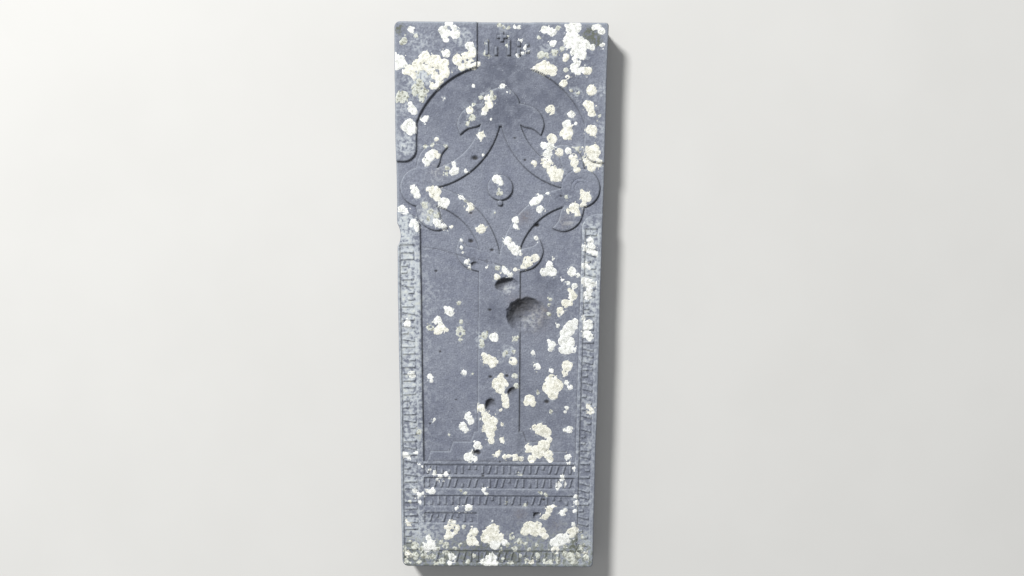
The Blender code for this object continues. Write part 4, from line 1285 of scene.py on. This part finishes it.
def make_crust(settings):
    """The lichen as one thin lobed sheet that follows the stone, closed underneath."""
    kinds = (WHITE_COLONIES, CREAM_COLONIES, GREY_COLONIES)
    bm = new_grid(settings.cell_size)
    for margin, cuts in CRUST_TRIMS:
        plan = plan_from_grid(face_centres(bm), ARRIS)
        cover = crust_cover([colony_cover(plan, kind, settings.lobing) for kind in kinds], plan)
        bare = [face for face, c in zip(bm.faces, cover) if c < -margin * settings.cell_size]
        bmesh.ops.delete(bm, geom=bare, context="FACES")
        if cuts:
            bmesh.ops.subdivide_edges(bm, edges=bm.edges[:], cuts=cuts, use_grid_fill=True)
    upper = bmesh.ops.extrude_face_region(bm, geom=bm.faces[:])["geom"]
    bmesh.ops.translate(bm, vec=(0, 0, 1), verts=only(upper, bmesh.types.BMVert))
    bmesh.ops.recalc_face_normals(bm, faces=bm.faces)
    mesh = finished_mesh(bm, "lichen_crust")
    flat = mesh_points(mesh)
    plan = plan_from_grid(flat[:, :2], ARRIS)
    white, cream, grey = (colony_cover(plan, kind, settings.lobing) for kind in kinds)
    cover = crust_cover((white, cream, grey), plan)
    z, _ = stone_heights(plan, Carving())
    grain = 0.5 + 0.5 * noise_at(plan, "crust")
    lift = settings.thickness * smooth(0, CRUST_RISE, cover) * (CRUST_LEAST + CRUST_MORE * grain)
    lift += np.clip(cover, *CRUST_RIM) * CRUST_RIM_SLOPE
    points = np.column_stack((plan, z + np.where(flat[:, 2] > 0.5, lift, -CRUST_ROOT)))
    set_attribute(mesh, "cover", smooth(*CRUST_MIDDLE, cover))
    set_attribute(mesh, "cream", smooth(*CREAM_MEETS_WHITE, cream - white))
    set_attribute(mesh, "grey", smooth(*GREY_MEETS_PALE, grey - np.maximum(white, cream)))
    finish_piece("lichen_crust", mesh, points, lichen(settings))


def colour(name, description, code):
    """A colour setting, whose default is an sRGB hex code."""
    return bpy.props.FloatVectorProperty(
        name=name, description=description, default=linear(code), subtype="COLOR", size=4, min=0, max=1,
    )


class StoneSettings(bpy.types.PropertyGroup):
    """Sizes and colours of the stone."""

    cell_size: bpy.props.FloatProperty(
        name="Cell Size",
        description="Widest cell of the stone's mesh, halved up to three times by the carving",
        default=0.0100, min=0.004, unit="LENGTH",
    )
    stone_colour: colour("Stone", "Limestone", "#828796")
    stone_colour_dark: colour("Dark Stone", "Darker beds", "#5E6371")
    stone_colour_pale: colour("Pale Stone", "Rubbed beds", "#9BA0AB")
    grit_colour: colour("Grit", "Dark grains", "#4E525F")
    speck_colour: colour("Specks", "Shell specks", "#B4B8BE")
    # Colours of the film and the dust, also laid as painted light on two hollow floors
    film_and_light_colour: colour("Film", "Thin grey lichen", "#B9BFC4")
    dust_and_light_colour: colour("Dust", "Pale lichen dust", "#D3D6CE")
    # Colour of worn edges, also used for the painted highlight on edges facing the light
    worn_and_highlight_colour: colour("Worn Edges", "Rubbed arrises", "#A7AEB4")
    damp_colour: colour("Moss", "Algae and moss", "#63675C")
    # Colour of the soil, also used for the painted shade by the walls and in the hollows
    dirt_and_shade_colour: colour("Dirt", "Soil in hollows", "#262524")
    stain_colour: colour("Stain", "Rusty patches", "#6F6058")


class LichenSettings(bpy.types.PropertyGroup):
    """Sizes and colours of the lichen."""

    cell_size: bpy.props.FloatProperty(
        name="Cell Size", description="Cell of the crust's first grid, halved once",
        default=0.0068, min=0.004, unit="LENGTH",
    )
    thickness: bpy.props.FloatProperty(
        name="Thickness", description="Most that the crust stands over the stone",
        default=0.0011, unit="LENGTH",
    )
    lobing: bpy.props.FloatProperty(
        name="Lobing", description="How far the rims wander in and out",
        default=0.0046, unit="LENGTH",
    )
    plate_size: bpy.props.FloatProperty(
        name="Plate Size", description="Width of the plates that the crust cracks into",
        default=0.0060, unit="LENGTH",
    )
    white: colour("White", "Chalk-white crust", "#F6F7F3")
    dull_white: colour("Dull White", "Its duller patches", "#E4E5DF")
    cream: colour("Cream", "Cream crust", "#F0EDDD")
    grey: colour("Grey", "Grey crust", "#CCCFC5")
    crack: colour("Cracks", "Between the plates", "#8E8F82")


class StageSettings(bpy.types.PropertyGroup):
    """Floor, light and camera."""

    floor_size: bpy.props.FloatProperty(
        name="Floor", description="Width of the floor", default=14.0, unit="LENGTH",
    )
    floor_colour: colour("Floor Colour", "Plain pale floor", "#D0CFCB")
    cloud_colour: colour("Clouds", "The floor's faint clouds", "#F4F3F0")
    key_power: bpy.props.FloatProperty(
        name="Key Light", description="Power of the key light", default=3200.0, unit="POWER",
    )
    key_size: bpy.props.FloatProperty(
        name="Key Size", description="Width of the key light", default=3.2, unit="LENGTH",
    )
    fill: bpy.props.FloatProperty(
        name="Fill Light", description="Strength of the light from all round", default=0.40,
    )
    sky_colour: colour("Sky", "Colour of the light from all round", "#F2F4F8")


class GRAVESLAB_OT_stone(bpy.types.Operator):
    """Build the carved stone"""

    bl_idname = "grave_slab.stone"
    bl_label = "Build Stone"

    def execute(self, context):
        make_stone(context.scene.slab_stone)
        return {"FINISHED"}


class GRAVESLAB_OT_lichen(bpy.types.Operator):
    """Grow the crust of white and cream lichen"""

    bl_idname = "grave_slab.lichen"
    bl_label = "Grow Lichen"

    def execute(self, context):
        make_crust(context.scene.slab_lichen)
        return {"FINISHED"}


class GRAVESLAB_OT_stage(bpy.types.Operator):
    """Lay the floor, and set the lights and the camera"""

    bl_idname = "grave_slab.stage"
    bl_label = "Set Stage"

    def execute(self, context):
        set_stage(context.scene, context.scene.slab_stage)
        return {"FINISHED"}


class GRAVESLAB_PT_panel(bpy.types.Panel):
    """Lists the pieces of the slab"""

    bl_label = "Grave Slab"
    bl_space_type = "VIEW_3D"
    bl_region_type = "UI"
    bl_category = "Grave Slab"

    def draw(self, context):
        for settings, operator in (
            (context.scene.slab_stone, GRAVESLAB_OT_stone),
            (context.scene.slab_lichen, GRAVESLAB_OT_lichen),
            (context.scene.slab_stage, GRAVESLAB_OT_stage),
        ):
            box = self.layout.box()
            for name in settings.bl_rna.properties.keys():
                if name not in ("rna_type", "name"):
                    box.prop(settings, name)
            box.operator(operator.bl_idname)


def set_stage(scene, settings):
    """A plain pale floor, soft light from the upper left of the view, and a camera straight above."""
    bm = bmesh.new()
    bmesh.ops.create_grid(bm, x_segments=1, y_segments=1, size=settings.floor_size / 2)
    mesh = finished_mesh(bm, "floor")
    mesh.materials.append(studio_floor(settings))
    floor = bpy.data.objects.new("floor", mesh)
    scene.collection.objects.link(floor)

    light = bpy.data.lights.new("key", "AREA")
    light.shape = "DISK"
    light.size = settings.key_size
    light.energy = settings.key_power
    key = bpy.data.objects.new("key", light)
    key.location = KEY_PLACE
    key.rotation_euler = (-Vector(key.location)).to_track_quat("-Z", "Y").to_euler()
    scene.collection.objects.link(key)

    world = bpy.data.worlds.new("studio")
    world.use_nodes = True
    sky = world.node_tree.nodes["Background"]
    sky.inputs["Color"].default_value = settings.sky_colour
    sky.inputs["Strength"].default_value = settings.fill
    scene.world = world

    camera = bpy.data.objects.new("camera", bpy.data.cameras.new("camera"))
    right = (PHOTO_SIZE[0] / 2 - PHOTO_SLAB_CENTRE[0]) * PIXEL
    up = (PHOTO_SLAB_CENTRE[1] - PHOTO_SIZE[1] / 2) * PIXEL
    camera.location = (right, up, FACE_Z + CAMERA_DISTANCE)
    camera.rotation_euler = (0, 0, PHOTO_ROLL)
    camera.data.lens = camera.data.sensor_width * CAMERA_DISTANCE / (PHOTO_SIZE[0] * PIXEL)
    scene.collection.objects.link(camera)
    scene.camera = camera
    scene.view_settings.view_transform = "Standard"


CLASSES = (
    StoneSettings,
    LichenSettings,
    StageSettings,
    GRAVESLAB_OT_stone,
    GRAVESLAB_OT_lichen,
    GRAVESLAB_OT_stage,
    GRAVESLAB_PT_panel,
)


def register():
    for cls in CLASSES:
        bpy.utils.register_class(cls)
    bpy.types.Scene.slab_stone = bpy.props.PointerProperty(type=StoneSettings)
    bpy.types.Scene.slab_lichen = bpy.props.PointerProperty(type=LichenSettings)
    bpy.types.Scene.slab_stage = bpy.props.PointerProperty(type=StageSettings)


def unregister():
    del bpy.types.Scene.slab_stage
    del bpy.types.Scene.slab_lichen
    del bpy.types.Scene.slab_stone
    for cls in reversed(CLASSES):
        bpy.utils.unregister_class(cls)


def main():
    register()
    bpy.ops.grave_slab.stone()
    bpy.ops.grave_slab.lichen()
    bpy.ops.grave_slab.stage()


if __name__ == "__main__":
    main()
